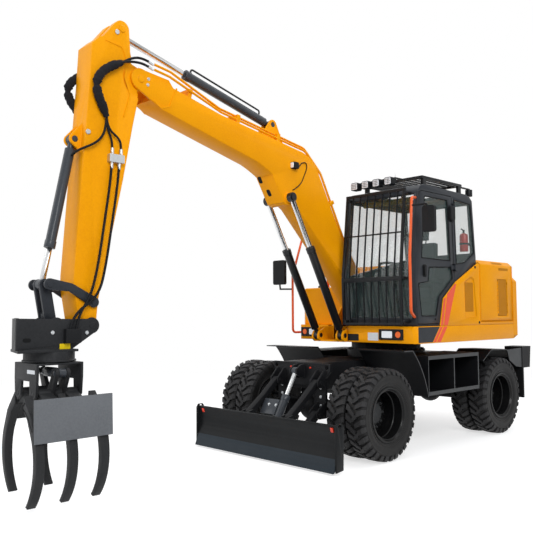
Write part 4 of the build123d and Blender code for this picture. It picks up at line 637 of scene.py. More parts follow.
def smooth_line(points: Sequence[Point3]) -> list[Vector]:
    """Return the points of a smooth line that is led by points at stations."""
    data = bpy.data.curves.new("line", "CURVE")
    data.dimensions = "3D"
    line = data.splines.new("NURBS")
    line.points.add(len(points) - 1)
    for point, place in zip(line.points, points):
        point.co = (*at(*place), 1.0)
    line.order_u = 3
    line.use_endpoint_u = True
    line.resolution_u = 6
    guide = bpy.data.objects.new("line", data)
    bpy.context.scene.collection.objects.link(guide)
    bpy.context.view_layer.update()
    mesh = bpy.data.meshes.new_from_object(guide.evaluated_get(bpy.context.evaluated_depsgraph_get()))
    bpy.data.objects.remove(guide)
    return [vertex.co.copy() for vertex in mesh.vertices]


def flexible(name: str, points: Sequence[Point3], radius: float, finish: Finish) -> bpy.types.Object:
    """Build a hose as a mesh on a smooth line led by points at stations, and return it."""
    return Draft().tube(smooth_line(points), radius, 12).object(name, finish, smooth=60.0)


def gathered(name: str, points: Sequence[Point3], radius: float, finish: Finish) -> bpy.types.Object:
    """Build a cloth sleeve with folds, tied in at its ends and past its middle, and return it."""
    ties, tie_reach, waist = (0.0, 0.56, 1.0), 0.07, 0.62
    path = smooth_line(points)
    last = len(path) - 1
    radii = []
    for index in range(len(path)):
        away = min(abs(index / last - tie) for tie in ties)
        fold = 0.07 * math.sin(2.3 * index) + 0.04 * math.sin(5.1 * index + 1.0)
        radii.append(radius * (waist + (1.0 - waist) * min(1.0, away / tie_reach) + fold))
    return Draft().tube(path, radii, 18).object(name, finish, smooth=70.0)


def cushioned(name: str, outline: Sequence[Point2], low: float, high: float, cap: float,
              finish: Finish) -> bpy.types.Object:
    """Build a cushion from a side outline, swollen by air under its cloth, and return it.

    Args:
        name: the cushion's name.
        outline: its outline from the side, smaller than the cushion by what it swells.
        low: where it starts across the machine.
        high: where it ends.
        cap: how far a point of its cloth may move.
        finish: its cloth.

    Returns:
        The cushion, which rides on nothing yet.
    """
    voxel, pressure, moments = 0.011, 4.0, 20
    piece = Draft().plate(outline, low, high).object(name, finish, smooth=180.0)
    voxels = piece.modifiers.new("voxels", "REMESH")
    voxels.voxel_size = voxel
    bpy.context.view_layer.update()
    mesh = bpy.data.meshes.new_from_object(piece.evaluated_get(bpy.context.evaluated_depsgraph_get()))
    piece.modifiers.clear()
    piece.data = mesh
    swollen = piece.modifiers.new("swelling", "CLOTH")
    swollen.settings.use_pressure = True
    swollen.settings.uniform_pressure_force = pressure
    swollen.settings.effector_weights.gravity = 0.0
    for moment in range(1, moments + 1):
        bpy.context.scene.frame_set(moment)
    soft = piece.evaluated_get(bpy.context.evaluated_depsgraph_get()).to_mesh()
    for vertex, moved in zip(mesh.vertices, [point.co.copy() for point in soft.vertices]):
        way = moved - vertex.co
        vertex.co += way * min(1.0, cap / max(way.length, 1e-9))
    piece.modifiers.clear()
    bpy.context.scene.frame_set(1)
    mesh.shade_smooth()
    finer = piece.modifiers.new("finer", "SUBSURF")
    finer.levels = 1
    finer.render_levels = 1
    return piece


def across_joint(name: str, points: Sequence[Point3], radius: float, finish: Finish, bodies: tuple[str, str]) -> bpy.types.Object:
    """Build a hose that runs from one body to the next between two stations, and return it; it rides on
    neither body.
    """
    hose = flexible(name, points, radius, finish)
    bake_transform(hose)
    LOG.info("%s bends from %s to %s", name, *bodies)
    return hose


@dataclass(frozen=True)
class Pad:
    """A plate, lens, cap or cover that sits on a surface, with rounded corners.

    Args:
        name: the piece's name.
        finish: what it is made of.
        body: the body it rides on.
        point: its middle on the surface, at a station.
        outward: the way the surface faces.
        size: its width, its height, how far it stands out and the radius of its corners.
    """

    name: str
    finish: Finish
    body: str
    point: Point3
    outward: Point3
    size: PadSize

    def build(self) -> bpy.types.Object:
        """Build the piece and return it."""
        upward = UP if abs(self.outward[2]) < 0.9 else AHEAD
        piece = Draft().pad(spot(self.point, self.outward, upward), *self.size).object(self.name, self.finish)
        return settle(piece, self.body)


def disc(diameter: float, depth: float) -> PadSize:
    """Return the size of a round pad."""
    return diameter, diameter, depth, diameter / 2 - 0.0002


def pads(body: str, outward: Point3, rows: Iterable[tuple[str, Finish, Point3, PadSize]]) -> None:
    """Build pads that face one way on one body, from rows of a name, a finish, a place and a size."""
    for name, finish, point, size in rows:
        Pad(name, finish, body, point, outward, size).build()


@dataclass(frozen=True)
class Screws:
    """Hexagon screws with their washers, in a row on a surface.

    Args:
        name: the row's name.
        finish: what they are made of.
        body: the body they ride on.
        point: the first screw's place on the surface, at a station.
        outward: the way the surface faces.
        radius: the radius of a head.
        copies: how many there are.
        step: the way from one to the next.
    """

    name: str
    finish: Finish
    body: str
    point: Point3
    outward: Point3
    radius: float
    copies: int = 1
    step: Point3 = (0.0, 0.0, 0.0)

    def build(self) -> bpy.types.Object:
        """Build the row and return it."""
        place, head = spot(self.point, self.outward), self.radius
        draft = Draft()
        washer, hexagon = (-0.001, 0.12 * head, 1.35 * head, 16), (0.1 * head, 0.8 * head, head, 6)
        for low, high, radius, sides in (washer, hexagon):
            draft.bar(place @ Vector((0, 0, low)), place @ Vector((0, 0, high)), radius, sides)
        unit = draft.object(self.name, self.finish, smooth=20.0)
        if self.copies > 1:
            repeated(unit, self.finish, Repeat.ALONG, self.copies, step=self.step)
        return settle(unit, self.body)


def bare_node(node: str, finish: Finish) -> None:
    """Give a node's own object a finish, with its shape as it is."""
    obj = frame["nodes"][node]
    for slot in obj.material_slots:
        slot.material = finish.material()


def softened(node: str, finish: Finish, bevel: float) -> bpy.types.Object:
    """Build a copy of a node with merged faces and rounded edges, which stands for the node, and return it.

    A face with a window in it can't be one face, so the windowed nodes only have their triangles joined.
    """
    source = frame["nodes"][node]
    draft = bmesh.new()
    draft.from_mesh(source.data)
    bmesh.ops.remove_doubles(draft, verts=draft.verts, dist=MERGE_REACH)
    if node in WINDOWED:
        bmesh.ops.join_triangles(draft, faces=draft.faces, angle_face_threshold=MERGE_ANGLE,
                                 angle_shape_threshold=math.pi)
    else:
        bmesh.ops.dissolve_limit(draft, angle_limit=MERGE_ANGLE, verts=draft.verts, edges=draft.edges)
    mesh = bpy.data.meshes.new(f"{node}_dressed")
    draft.to_mesh(mesh)
    draft.free()
    piece = shown(mesh, f"{node}_dressed", finish, bevel, EDGE_ANGLE)
    return settle(piece, source["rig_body"], (node,))


class Assembly:
    """A sub-assembly: it rounds and paints its nodes, and adds its own pieces."""

    coats: tuple[tuple[str, Finish, float], ...] = ()

    def dress(self) -> None:
        """Round and paint the nodes of this sub-assembly."""
        self.dressed = {node: softened(node, finish, bevel) for node, finish, bevel in self.coats}

    def build(self) -> None:
        """Add the pieces of this sub-assembly."""


@dataclass
class Wheel(Assembly):
    """One corner: twin tyres with a block tread on a deep twin rim with its hub and nuts.

    Args:
        corner: the corner's name, as in the names of its nodes.
        x: the axle's station.
        side: 1 on the left and -1 on the right.
    """

    corner: str
    x: float
    side: int
    tyre_radius: float = 0.525
    tread_base: float = 0.499
    tread_base_half: float = 0.074
    bead_radius: float = 0.285
    bead_half: float = 0.1005
    tyre_middles: tuple[float, float] = (0.779, 1.054)
    blocks_around: int = 16
    block_root: float = 0.006
    block_least: float = 0.012
    block_taper: float = 0.86
    rim_radius: float = 0.2845
    rim_wall: float = 0.013
    rim_half: float = 0.1025
    flange_radius: float = 0.311
    flange_wall: float = 0.010
    disc_y: float = 0.893
    hand_hole_circle: float = 0.215
    hand_holes: int = 8

    # The tyre's side wall from the bead outwards: radius, distance from the tyre's middle.
    side_wall = ((0.313, 0.101), (0.330, 0.112), (0.345, 0.121), (0.352, 0.1165), (0.375, 0.124),
                 (0.405, 0.125), (0.432, 0.1235), (0.438, 0.1262), (0.446, 0.1262), (0.452, 0.1215),
                 (0.476, 0.1150), (0.4905, 0.1020))
    # The tread's blocks: distance from the crown line, way round, half width, outer radius.
    crown_block = ((-0.016, -0.014, 0.027, 0.525), (0.046, 0.036, 0.030, 0.525))
    long_block = ((0.044, 0.050, 0.032, 0.5245), (0.104, 0.082, 0.035, 0.518), (0.1235, 0.086, 0.034, 0.490),
                  (0.1275, 0.088, 0.028, 0.464))
    short_block = ((0.020, 0.026, 0.026, 0.525), (0.060, 0.050, 0.031, 0.5245), (0.104, 0.074, 0.034, 0.518),
                   (0.1235, 0.078, 0.033, 0.490), (0.1275, 0.080, 0.027, 0.472))
    # The rim's lock ring and deep dish: radius, distance out from its outer seat.
    lock_ring = ((0.313, 0.006), (0.305, 0.012), (0.291, 0.010), (0.283, -0.004), (0.277, -0.012),
                 (0.270, -0.014), (0.2705, -0.120), (0.262, -0.128), (0.262, -0.146), (0.2715, -0.152))
    # The rim's disc and the hub: radius, distance out from the disc.
    disc_outline = ((0.135, 0.018), (0.232, 0.018), (0.250, 0.006), (0.272, -0.002), (0.272, -0.014),
                    (0.246, -0.008), (0.228, 0.004), (0.135, 0.004))
    hub_outline = ((0.060, -0.110), (0.140, -0.110), (0.140, 0.040), (0.134, 0.050), (0.118, 0.052),
                   (0.112, 0.074), (0.104, 0.078), (0.0, 0.078), (0.0, 0.030), (0.060, 0.030))
    # The rings of nuts on the disc: name, count, circle, start and end out from the disc, radius.
    nut_rings = (("nuts", 10, 0.168, 0.017, 0.046, 0.017), ("cover_screws", 12, 0.126, 0.049, 0.059, 0.008))

    @property
    def body(self) -> str:
        """Name of the body that the wheel rides on."""
        return f"wheels_{self.corner}"

    def centre(self, y: float = 0.0) -> Vector:
        """Return the point on the wheel's axis at a distance out from the machine's middle."""
        return at(self.x, self.side * y, self.tyre_radius)

    def outwards(self, outline: Iterable[Point2], start: float) -> list[Point2]:
        """Return an outline of (radius, distance out from a start) as (radius, y) on the wheel's own side."""
        return [(radius, self.side * (start + offset)) for radius, offset in outline]

    def around(self, unit: bpy.types.Object, finish: Finish, copies: int) -> None:
        """Repeat a unit, drawn about the origin, round the wheel's axis."""
        repeated(unit, finish, Repeat.AROUND, copies, self.centre(), (0.0, -1.0, 0.0))
        settle(unit, self.body)

    def build(self) -> None:
        """Add the tyres with their tread, the rim and the hub."""
        self._carcasses()
        self._tread()
        self._rim()
        self._hub()

    def _carcasses(self) -> None:
        """Add both tyres without their tread."""
        half = [*self.side_wall, (self.tread_base, self.tread_base_half)]
        profile = [(self.bead_radius, -self.bead_half), *[(radius, -y) for radius, y in half],
                   *reversed(half), (self.bead_radius, self.bead_half)]
        draft = Draft()
        for middle in self.tyre_middles:
            draft.lathe(profile, self.centre(middle), 96)
        # The carcass's darker rubber is painted shade for the gaps between the tread's blocks.
        piece = draft.object(f"tyres_{self.corner}_carcass", SHADED_CARCASS_RUBBER, smooth=40.0)
        settle(piece, self.body, (f"tyres_{self.corner}",))

    def _block(self, draft: Draft, rows: Sequence[tuple[float, ...]], mirror: int, start: float,
               middle: float) -> None:
        """Add one block of the tread.

        Args:
            draft: what it is added to.
            rows: distance from the crown line, way round, half width and outer radius.
            mirror: 1 for the outer half of the tread and -1 for the inner one.
            start: its way round the tyre.
            middle: the tyre's middle along the axle.
        """
        rings = []
        for across, around, half, radius in rows:
            base = min(self.tread_base - self.block_root, radius - self.block_least)
            top = self.block_taper * half
            ring = []
            for reach, height in ((-half, base), (half, base), (top, radius), (-top, radius)):
                turn = (start + around + reach) / self.tyre_radius
                ring.append(Vector((height * math.cos(turn), middle + mirror * across,
                                    height * math.sin(turn))))
            rings.append(ring)
        draft.loft(rings)

    def _tread(self) -> None:
        """Add the blocks of the tread: long and short strokes by turns on each half of both tyres."""
        pitch = FULL_TURN * self.tyre_radius / self.blocks_around
        draft = Draft()
        for middle in self.tyre_middles:
            for mirror, shift in ((1, 0.0), (-1, pitch / 4)):
                self._block(draft, self.crown_block, mirror, shift, self.side * middle)
                self._block(draft, self.long_block, mirror, shift, self.side * middle)
                self._block(draft, self.short_block, mirror, shift + pitch / 2, self.side * middle)
        # The lugs' lighter rubber is partly wear and partly painted light on their tops.
        unit = draft.object(f"tyres_{self.corner}_lugs", LIT_WORN_LUG_RUBBER, smooth=14.0)
        self.around(unit, LIT_WORN_LUG_RUBBER, self.blocks_around)

    def _seat(self, low: float, high: float) -> list[Point2]:
        """Return the outline of one tyre's seat on the rim, from its inner flange to its outer one."""
        lip, barrel = self.flange_radius, self.rim_radius
        return [(lip, low - self.flange_wall), (lip, low), (barrel, low), (barrel, high), (lip, high)]

    def _rim(self) -> None:
        """Add the twin rim with its flanges, its lock ring and the dished disc."""
        (inner_low, inner_high), (outer_low, outer_high) = [
            (middle - self.rim_half, middle + self.rim_half) for middle in self.tyre_middles]
        wall, lip, barrel = self.flange_wall, self.flange_radius, self.rim_radius
        profile = [(barrel - self.rim_wall, inner_low - wall), *self._seat(inner_low, inner_high),
                   (lip, inner_high + wall), (barrel, inner_high + wall), (barrel, outer_low - wall),
                   *self._seat(outer_low, outer_high)]
        profile += [(radius, outer_high + offset) for radius, offset in self.lock_ring]
        draft = Draft().lathe(self.outwards(profile, 0.0), self.centre(), 96)
        draft.lathe(self.outwards(self.disc_outline, self.disc_y), self.centre(), 96)
        piece = draft.object(f"rims_{self.corner}_dressed", RIM_BLACK, smooth=28.0)
        settle(piece, self.body, (f"rims_{self.corner}",))

    def _stub(self, draft: Draft, circle: float, low: float, high: float, radius: float,
              sides: int) -> Draft:
        """Add a bar beside the axle, from low to high out from the disc, and return the draft."""
        start, end = (Vector((circle, self.side * (self.disc_y + place), 0)) for place in (low, high))
        return draft.bar(start, end, radius, sides)

    def _hub(self) -> None:
        """Add the hub, the nuts, the screws of its cover, and dark discs of painted shade for the hand holes.
        """
        hub = Draft().lathe(self.outwards(self.hub_outline, self.disc_y), self.centre(), 48)
        settle(hub.object(f"hub_{self.corner}", CAST, smooth=30.0), self.body)
        for name, count, circle, low, high, radius in self.nut_rings:
            nut = self._stub(Draft(), circle, low, high, radius, 6)
            self._stub(nut, circle, high - 0.002, high + 0.012, 0.55 * radius, 8)
            self.around(nut.object(f"{name}_{self.corner}", CAST, smooth=20.0), CAST, count)
        # The hand holes are dark discs on the disc: painted shade for the inside of the holes.
        hole = self._stub(Draft(), self.hand_hole_circle, 0.016, 0.0195, 0.020, 16)
        self.around(hole.object(f"hand_holes_{self.corner}", SEAL_AND_HOLE_SHADE, smooth=20.0), SEAL_AND_HOLE_SHADE, self.hand_holes)


def lit(node: bpy.types.Node, colour: Colour, strength: float) -> bpy.types.NodeSocket:
    """Give a light's node its colour and its strength, and return its output."""
    node.inputs["Color"].default_value = colour
    node.inputs["Strength"].default_value = strength
    return node.outputs[0]


def mixed(tree: bpy.types.NodeTree, share: bpy.types.NodeSocket, low: bpy.types.NodeSocket,
          high: bpy.types.NodeSocket) -> bpy.types.NodeSocket:
    """Return a shader that goes from the low one to the high one with a share."""
    mix = tree.nodes.new("ShaderNodeMixShader")
    for source, place in ((share, "Fac"), (low, 1), (high, 2)):
        tree.links.new(source, mix.inputs[place])
    return mix.outputs["Shader"]


def looked_at(tree: bpy.types.NodeTree) -> bpy.types.NodeSocket:
    """Return 1 for what is seen straight, in a reflection or through glass, and 0 for soft light."""
    path = tree.nodes.new("ShaderNodeLightPath")
    either = path.outputs["Is Camera Ray"]
    for name in ("Is Glossy Ray", "Is Transmission Ray"):
        either = worked_out(tree, "MAXIMUM", either, path.outputs[name])
    return either


@dataclass
class Stage:
    """The pale floor, the lamps and the camera at the photograph's viewing angle."""

    camera_place: Point3 = (6.2350, 5.8690, 1.6810)
    heading: float = 226.252
    pitch: float = 3.923
    roll: float = -0.303
    focal_pixels: float = 684.16
    frame_pixels: float = 533.0
    sensor: float = 36.0
    view_reach: float = 200.0
    floor_half: float = 60.0
    floor_grey: float = 0.62
    floor_lift: float = 0.62
    shadow_reach: float = 5.5
    sky: Colour = (0.93, 0.96, 1.0, 1.0)
    sky_strength: float = 0.5
    lamps_aim: Point3 = (0.0, 0.0, 1.4)

    # The soft lamps: name, place, size, power.
    lamps = (("key", (9.5, 14.5, 10.5), 8.0, 1750.0), ("fill", (9.0, -5.0, 5.0), 6.0, 240.0),
             ("above", (-1.0, 1.0, 11.0), 7.0, 380.0), ("rear", (-9.0, -6.0, 6.0), 6.0, 220.0))

    def build(self) -> None:
        """Build the stage."""
        self._camera()
        self._floor()
        self._lamps()
        self._world()

    def _camera(self) -> None:
        """Place the camera from its heading, pitch and roll."""
        heading, pitch, roll = (math.radians(angle) for angle in (self.heading, self.pitch, self.roll))
        level = math.cos(pitch)
        ahead = Vector((level * math.cos(heading), level * math.sin(heading), math.sin(pitch)))
        right = ahead.cross(Vector(UP)).normalized()
        up = right.cross(ahead)
        rolled_right = math.cos(roll) * right + math.sin(roll) * up
        rolled_up = -math.sin(roll) * right + math.cos(roll) * up
        turn = Matrix((rolled_right, rolled_up, -ahead)).transposed().to_4x4()
        data = bpy.data.cameras.new("camera")
        data.sensor_width = self.sensor
        data.lens = self.focal_pixels / self.frame_pixels * self.sensor
        data.clip_end = self.view_reach
        camera = bpy.data.objects.new("camera", data)
        camera.matrix_world = Matrix.Translation(self.camera_place) @ turn
        bpy.context.scene.collection.objects.link(camera)
        bpy.context.scene.camera = camera

    def _floor(self) -> None:
        """Lay the floor, white to the camera and to reflections, and grey enough to keep the shadow."""
        half, grey = self.floor_half, self.floor_grey
        mesh = bpy.data.meshes.new("floor")
        mesh.from_pydata([(-half, -half, 0), (half, -half, 0), (half, half, 0), (-half, half, 0)], [],
                         [(0, 1, 2, 3)])
        floor = bpy.data.objects.new("floor", mesh)
        bpy.context.scene.collection.objects.link(floor)
        material = bpy.data.materials.new("floor_paper")
        material.use_nodes = True
        tree = material.node_tree
        paper = tree.nodes["Principled BSDF"]
        paper.inputs["Base Color"].default_value = (grey, grey, grey, 1.0)
        paper.inputs["Roughness"].default_value = 0.95
        paper.inputs["Specular IOR Level"].default_value = 0.0
        near = tree.nodes.new("ShaderNodeAddShader")
        tree.links.new(paper.outputs["BSDF"], near.inputs[0])
        tree.links.new(lit(tree.nodes.new("ShaderNodeEmission"), WHITE, self.floor_lift), near.inputs[1])
        reach = tree.nodes.new("ShaderNodeVectorMath")
        reach.operation = "LENGTH"
        tree.links.new(tree.nodes.new("ShaderNodeTexCoord").outputs["Object"], reach.inputs[0])
        fade = ranged(tree, reach.outputs["Value"], (self.shadow_reach, 2.0 * self.shadow_reach))
        white = lit(tree.nodes.new("ShaderNodeEmission"), WHITE, 1.0)
        seen = mixed(tree, fade, near.outputs["Shader"], white)
        either = mixed(tree, looked_at(tree), paper.outputs["BSDF"], seen)
        tree.links.new(either, tree.nodes["Material Output"].inputs["Surface"])
        mesh.materials.append(material)

    def _lamps(self) -> None:
        """Hang four soft lamps: a key at the front left, a fill at the front right, one above, one behind."""
        for name, place, size, power in self.lamps:
            data = bpy.data.lights.new(name, "AREA")
            data.size = size
            data.energy = power
            lamp = bpy.data.objects.new(name, data)
            lamp.location = place
            lamp.rotation_euler = (Vector(self.lamps_aim) - Vector(place)).to_track_quat("-Z", "Y").to_euler()
            bpy.context.scene.collection.objects.link(lamp)

    def _world(self) -> None:
        """Make the surroundings white where they are looked at, and soft elsewhere."""
        world = bpy.data.worlds.new("surroundings")
        world.use_nodes = True
        tree = world.node_tree
        soft = lit(tree.nodes.new("ShaderNodeBackground"), self.sky, self.sky_strength)
        bright = lit(tree.nodes["Background"], WHITE, 1.0)
        either = mixed(tree, looked_at(tree), soft, bright)
        tree.links.new(either, tree.nodes["World Output"].inputs["Surface"])
        bpy.context.scene.world = world


@dataclass
class Undercarriage(Assembly):
    """The chassis with its axles, boxes, wheel covers and blade."""

    coats = (("chassis_frame", CHASSIS, 0.004), ("axles", CHASSIS, 0.005), ("drive_line", CHASSIS, 0.004),
             ("side_boxes", CHASSIS, 0.0), ("wheel_covers", CHASSIS, 0.0), ("knuckle_left", CAST, 0.004),
             ("knuckle_right", CAST, 0.004), ("blade", BLADE_STEEL, 0.004),
             ("blade_upper_links", CHASSIS, 0.003), ("blade_lower_arms", CHASSIS, 0.003),
             ("blade_ram_barrel", CYLINDER_GREY, 0.003), ("blade_ram_rod", CHROME, 0.0))

    box_side_y: float = 1.165
    box_side_band: float = 0.002
    front_plate_x: float = 1.530
    blade_lip_top: float = 0.166
    tail_x: float = -2.2
    tail_lamp_y: float = 1.035
    screw_radius: float = 0.013
    slew_x: float = -0.22
    slew_z: float = 1.18
    slew_bolts: int = 36
    slew_bolt_circle: float = 0.512

    def build(self) -> None:
        """Add the repainted rails, lips and flaps, the lamps, the reflectors and the bolts."""
        self._edges()
        self._lamps()
        self._bolts()

    def _edges(self) -> None:
        """Lighten the rails and lips that stand out, and darken the flaps and the eye of the blade's rod."""
        low_y, high_y = self.box_side_y - self.box_side_band, self.box_side_y + self.box_side_band
        boxes, covers = self.dressed["side_boxes"], self.dressed["wheel_covers"]
        for side in (1, -1):
            outer = mirrored((-2.3, low_y, 0.3), (1.1, high_y, 1.4), side)
            for piece in (boxes, covers):
                repaint(piece, LIP_GREY, *outer, (0, side, 0))
            repaint(covers, LIP_GREY, *mirrored((0.5, 1.02, 0.6), (0.9, 1.17, 1.21), side), AHEAD)
        repaint(self.dressed["blade"], SLATE, (1.9, -1.2, 0.0), (2.4, 1.2, self.blade_lip_top))
        repaint(covers, SEAL_AND_HOLE_SHADE, (-1.99, -1.2, 0.4), (-1.9, 1.2, 0.865))
        repaint(self.dressed["blade_ram_rod"], CYLINDER_GREY, (1.54, -0.1, 0.86), (1.71, 0.1, 1.06))

    def _lamps(self) -> None:
        """Add the rear lamps, the reflectors of the blade and the caps of the grease points."""
        x = self.tail_x
        for side, hand in HANDS:
            y = side * self.tail_lamp_y
            pads("chassis", BEHIND, (
                (f"tail_lamp_{hand}", RED_LENS, (x, y, 1.105), (0.17, 0.075, 0.018, 0.012)),
                (f"tail_indicator_{hand}", AMBER_LENS, (x, y, 1.012), (0.17, 0.065, 0.018, 0.012)),
                (f"tail_reflector_{hand}", RED_LENS, (x, y, 0.925), (0.09, 0.04, 0.008, 0.006))))
            pads("blade", (0.94, 0, -0.34), (
                (f"blade_reflector_{hand}", RED_LENS, (2.202, side * 1.08, 0.457),
                 (0.038, 0.052, 0.010, 0.008)),))
        pads("chassis", AHEAD, [(f"grease_cap_{number}", RED_LENS, (self.front_plate_x, y, 1.018),
                                 disc(0.022, 0.014)) for number, y in enumerate((-0.163, 0.163))])

    def _bolts(self) -> None:
        """Add the screws of the front plate and of the cylinder's cover, and the bolts of the slew ring."""
        for number, y in enumerate((-0.323, 0.323)):
            Screws(f"front_plate_screws_{number}", ZINC, "chassis", (self.front_plate_x, y, 0.785), AHEAD,
                   self.screw_radius, 3, (0.0, 0.0, -0.105)).build()
        Screws("cylinder_cover_screws", ZINC, "blade_ram_barrel", (1.905, -0.180, 0.583), (0.86, 0, 0.51),
               self.screw_radius, 2, (0.0, 0.118, 0.0)).build()
        circle = self.slew_bolt_circle
        bolt = Draft().bar(Vector((circle, 0, -0.002)), Vector((circle, 0, 0.016)), self.screw_radius, 6)
        unit = bolt.object("slew_ring_bolts", CAST, smooth=20.0)
        repeated(unit, CAST, Repeat.AROUND, self.slew_bolts, at(self.slew_x, 0.0, self.slew_z), UP)
        settle(unit, "chassis")


@dataclass
class UpperStructure(Assembly):
    """The turning platform with the bodywork, the cab, its guards and its rails."""

    coats = (("platform", AMBER, 0.006), ("counterweight", AMBER, 0.0), ("engine_covers", AMBER, 0.012),
             ("tank_box", AMBER, 0.012), ("engine_block", CAST, 0.02), ("handrails", RAIL_ORANGE, 0.0),
             ("cab_shell", CHARCOAL, 0.010), ("front_guard", GUARD_BLACK, 0.003),
             ("roof_guard", GUARD_BLACK, 0.003), ("steering_column", PLASTIC, 0.004),
             ("door", CHARCOAL, 0.008))

    side_y: float = 1.245
    deck_front_x: float = 0.862
    deck_lamp_z: float = 1.416
    work_lamp_x: float = 0.835
    work_lamp_z: float = 3.312
    work_lamps_y: tuple[float, ...] = (0.321, 0.494, 0.666, 0.849)
    cab_floor_z: float = 1.560
    cab_face_y: float = 1.220
    seat_under_z: float = 1.868
    seat_pan: float = 0.06
    console_width: float = 0.09
    seal_radius: float = 0.0065
    seal_bend: float = 0.02
    stripe_root: float = 0.001
    stripe_height: float = 0.0015
    guard_ahead: float = 0.004

    # The boxes in which the rails are black: the mirrors and their arms.
    mirror_boxes = (((0.85, 1.37, 2.60), (0.91, 1.56, 2.95)), ((0.86, 1.269, 2.88), (0.96, 1.48, 2.98)),
                    ((0.424, -1.48, 2.02), (0.60, -1.20, 2.49)))
    # The boxes in which the platform is black: the housings of the deck's lamps.
    housing_boxes = (((0.8625, 0.70, 1.345), (0.90, 1.075, 1.485)),
                     ((0.4005, -1.055, 1.345), (0.43, -0.680, 1.485)))
    # The stripes on the bodywork and the dark field in front of them on the deck: name, finish, outline.
    stripes = (
        ("dark_field", CHARCOAL, ((0.821, 1.322), (0.522, 1.322), (0.362, 1.507), (0.821, 1.507))),
        ("thin_stripe_low", STRIPE_ORANGE, ((0.505, 1.322), (0.452, 1.322), (0.292, 1.507), (0.345, 1.507))),
        ("thick_stripe_low", STRIPE_ORANGE, ((0.428, 1.322), (0.345, 1.322), (0.185, 1.507), (0.268, 1.507))),
        ("thin_stripe_high", STRIPE_ORANGE, ((0.333, 1.522), (0.288, 1.522), (0.205, 1.872),
                                             (0.2515, 1.853))),
        ("thick_stripe_high", STRIPE_ORANGE, ((0.262, 1.522), (0.178, 1.522), (-0.045, 2.045),
                                              (-0.015, 2.045), (0.178, 1.905))))
    # The window seals: name, body, outline.
    seals = (("upper_seal", "door", ((0.690, 2.343), (0.600, 3.105), (0.090, 3.105), (0.046, 2.334))),
             ("lower_seal", "door", ((0.532, 2.235), (0.020, 2.256), (0.012, 2.104), (0.324, 1.880),
                                     (0.395, 1.640), (0.712, 1.640), (0.765, 2.030), (0.560, 2.060))),
             ("quarter_seal", "upper", ((-0.075, 3.130), (-0.480, 3.110), (-0.545, 2.469), (-0.300, 2.330),
                                        (-0.100, 2.300))))
    # The seat's cushions: name, outline before they swell, start and end across, reach of their cloth.
    cushions = (("seat_cushion", ((-0.168, 1.872), (0.308, 1.872), (0.308, 1.984), (-0.168, 1.984)),
                 0.445, 0.895, 0.018),
                ("seat_back", ((-0.176, 2.005), (-0.086, 2.005), (-0.144, 2.625), (-0.218, 2.625)),
                 0.465, 0.875, 0.016),
                ("head_cushion", ((-0.198, 2.648), (-0.146, 2.648), (-0.168, 2.818), (-0.216, 2.818)),
                 0.572, 0.768, 0.008))

    def dress(self) -> None:
        """Round and paint the nodes, and give the panes their glass."""
        super().dress()
        for pane in ("cab_glass", "door_glass"):
            bare_node(pane, GLASS)

    def build(self) -> None:
        """Add the lamps, the plates, the stripes, the fittings and what is in the cab."""
        self._mirrors()
        self._lamps()
        self._plates()
        self._stripes()
        self._bodywork()
        self._seals()
        self._seat()
        self._inside()

    def _mirrors(self) -> None:
        """Make the mirrors and their arms black, and give them their glass."""
        for low, high in self.mirror_boxes:
            repaint(self.dressed["handrails"], PLASTIC, low, high)
        pads("upper", BEHIND, (
            ("mirror_glass_left", MIRROR, (0.8577, 1.462, 2.774), (0.145, 0.290, 0.003, 0.022)),
            ("mirror_glass_right", MIRROR, (0.5277, -1.345, 2.287), (0.218, 0.340, 0.003, 0.022))))
        pads("upper", LEFT, (("post_mirror", PLASTIC, (0.021, 1.222, 2.938), (0.100, 0.200, 0.05, 0.035)),))

    def _lamps(self) -> None:
        """Add the lenses of the deck's lamps, and those of the work lamps with the bars over them."""
        for low, high in self.housing_boxes:
            repaint(self.dressed["platform"], PLASTIC, low, high)
        for hand, x, y_lens, y_round in (("left", 0.872, 0.8275, 0.990), ("right", 0.410, -0.8075, -0.970)):
            pads("upper", AHEAD, (
                (f"head_lens_{hand}", LENS, (x, y_lens, self.deck_lamp_z), (0.155, 0.084, 0.011, 0.012)),
                (f"turn_lens_{hand}", AMBER_LENS, (x, y_round, self.deck_lamp_z),
                 (0.078, 0.078, 0.011, 0.0385))))
        x, z = self.work_lamp_x, self.work_lamp_z
        for number, y in enumerate(self.work_lamps_y):
            pads("upper", AHEAD, ((f"work_lens_{number}", LENS, (x, y, z), (0.090, 0.082, 0.004, 0.014)),))
            bars = Draft()
            for step in (-1, 0, 1):
                front = x + self.guard_ahead
                bars.pad(spot((front, y + 0.022 * step, z), AHEAD), 0.003, 0.078, 0.003, 0.001)
                bars.pad(spot((front, y, z + 0.020 * step), AHEAD), 0.084, 0.003, 0.003, 0.001)
            settle(bars.object(f"work_lens_grid_{number}", PLASTIC), "upper")

    def _plates(self) -> None:
        """Add the blank plates of the deck's front."""
        x = self.deck_front_x
        pads("upper", AHEAD, (("white_plate", WHITE_PLATE, (x, 0.608, 1.387), (0.162, 0.098, 0.002, 0.006)),
                              ("dark_plate", PLASTIC, (x, 0.292, 1.372), (0.176, 0.085, 0.003, 0.006))))

    def _stripes(self) -> None:
        """Lay the two orange stripes over the bodywork, and the dark field in front of them on the deck."""
        low, high = self.side_y - self.stripe_root, self.side_y + self.stripe_height
        for name, finish, outline in self.stripes:
            skin = Draft().plate(outline, low, high)
            settle(skin.object(name, finish), "upper")

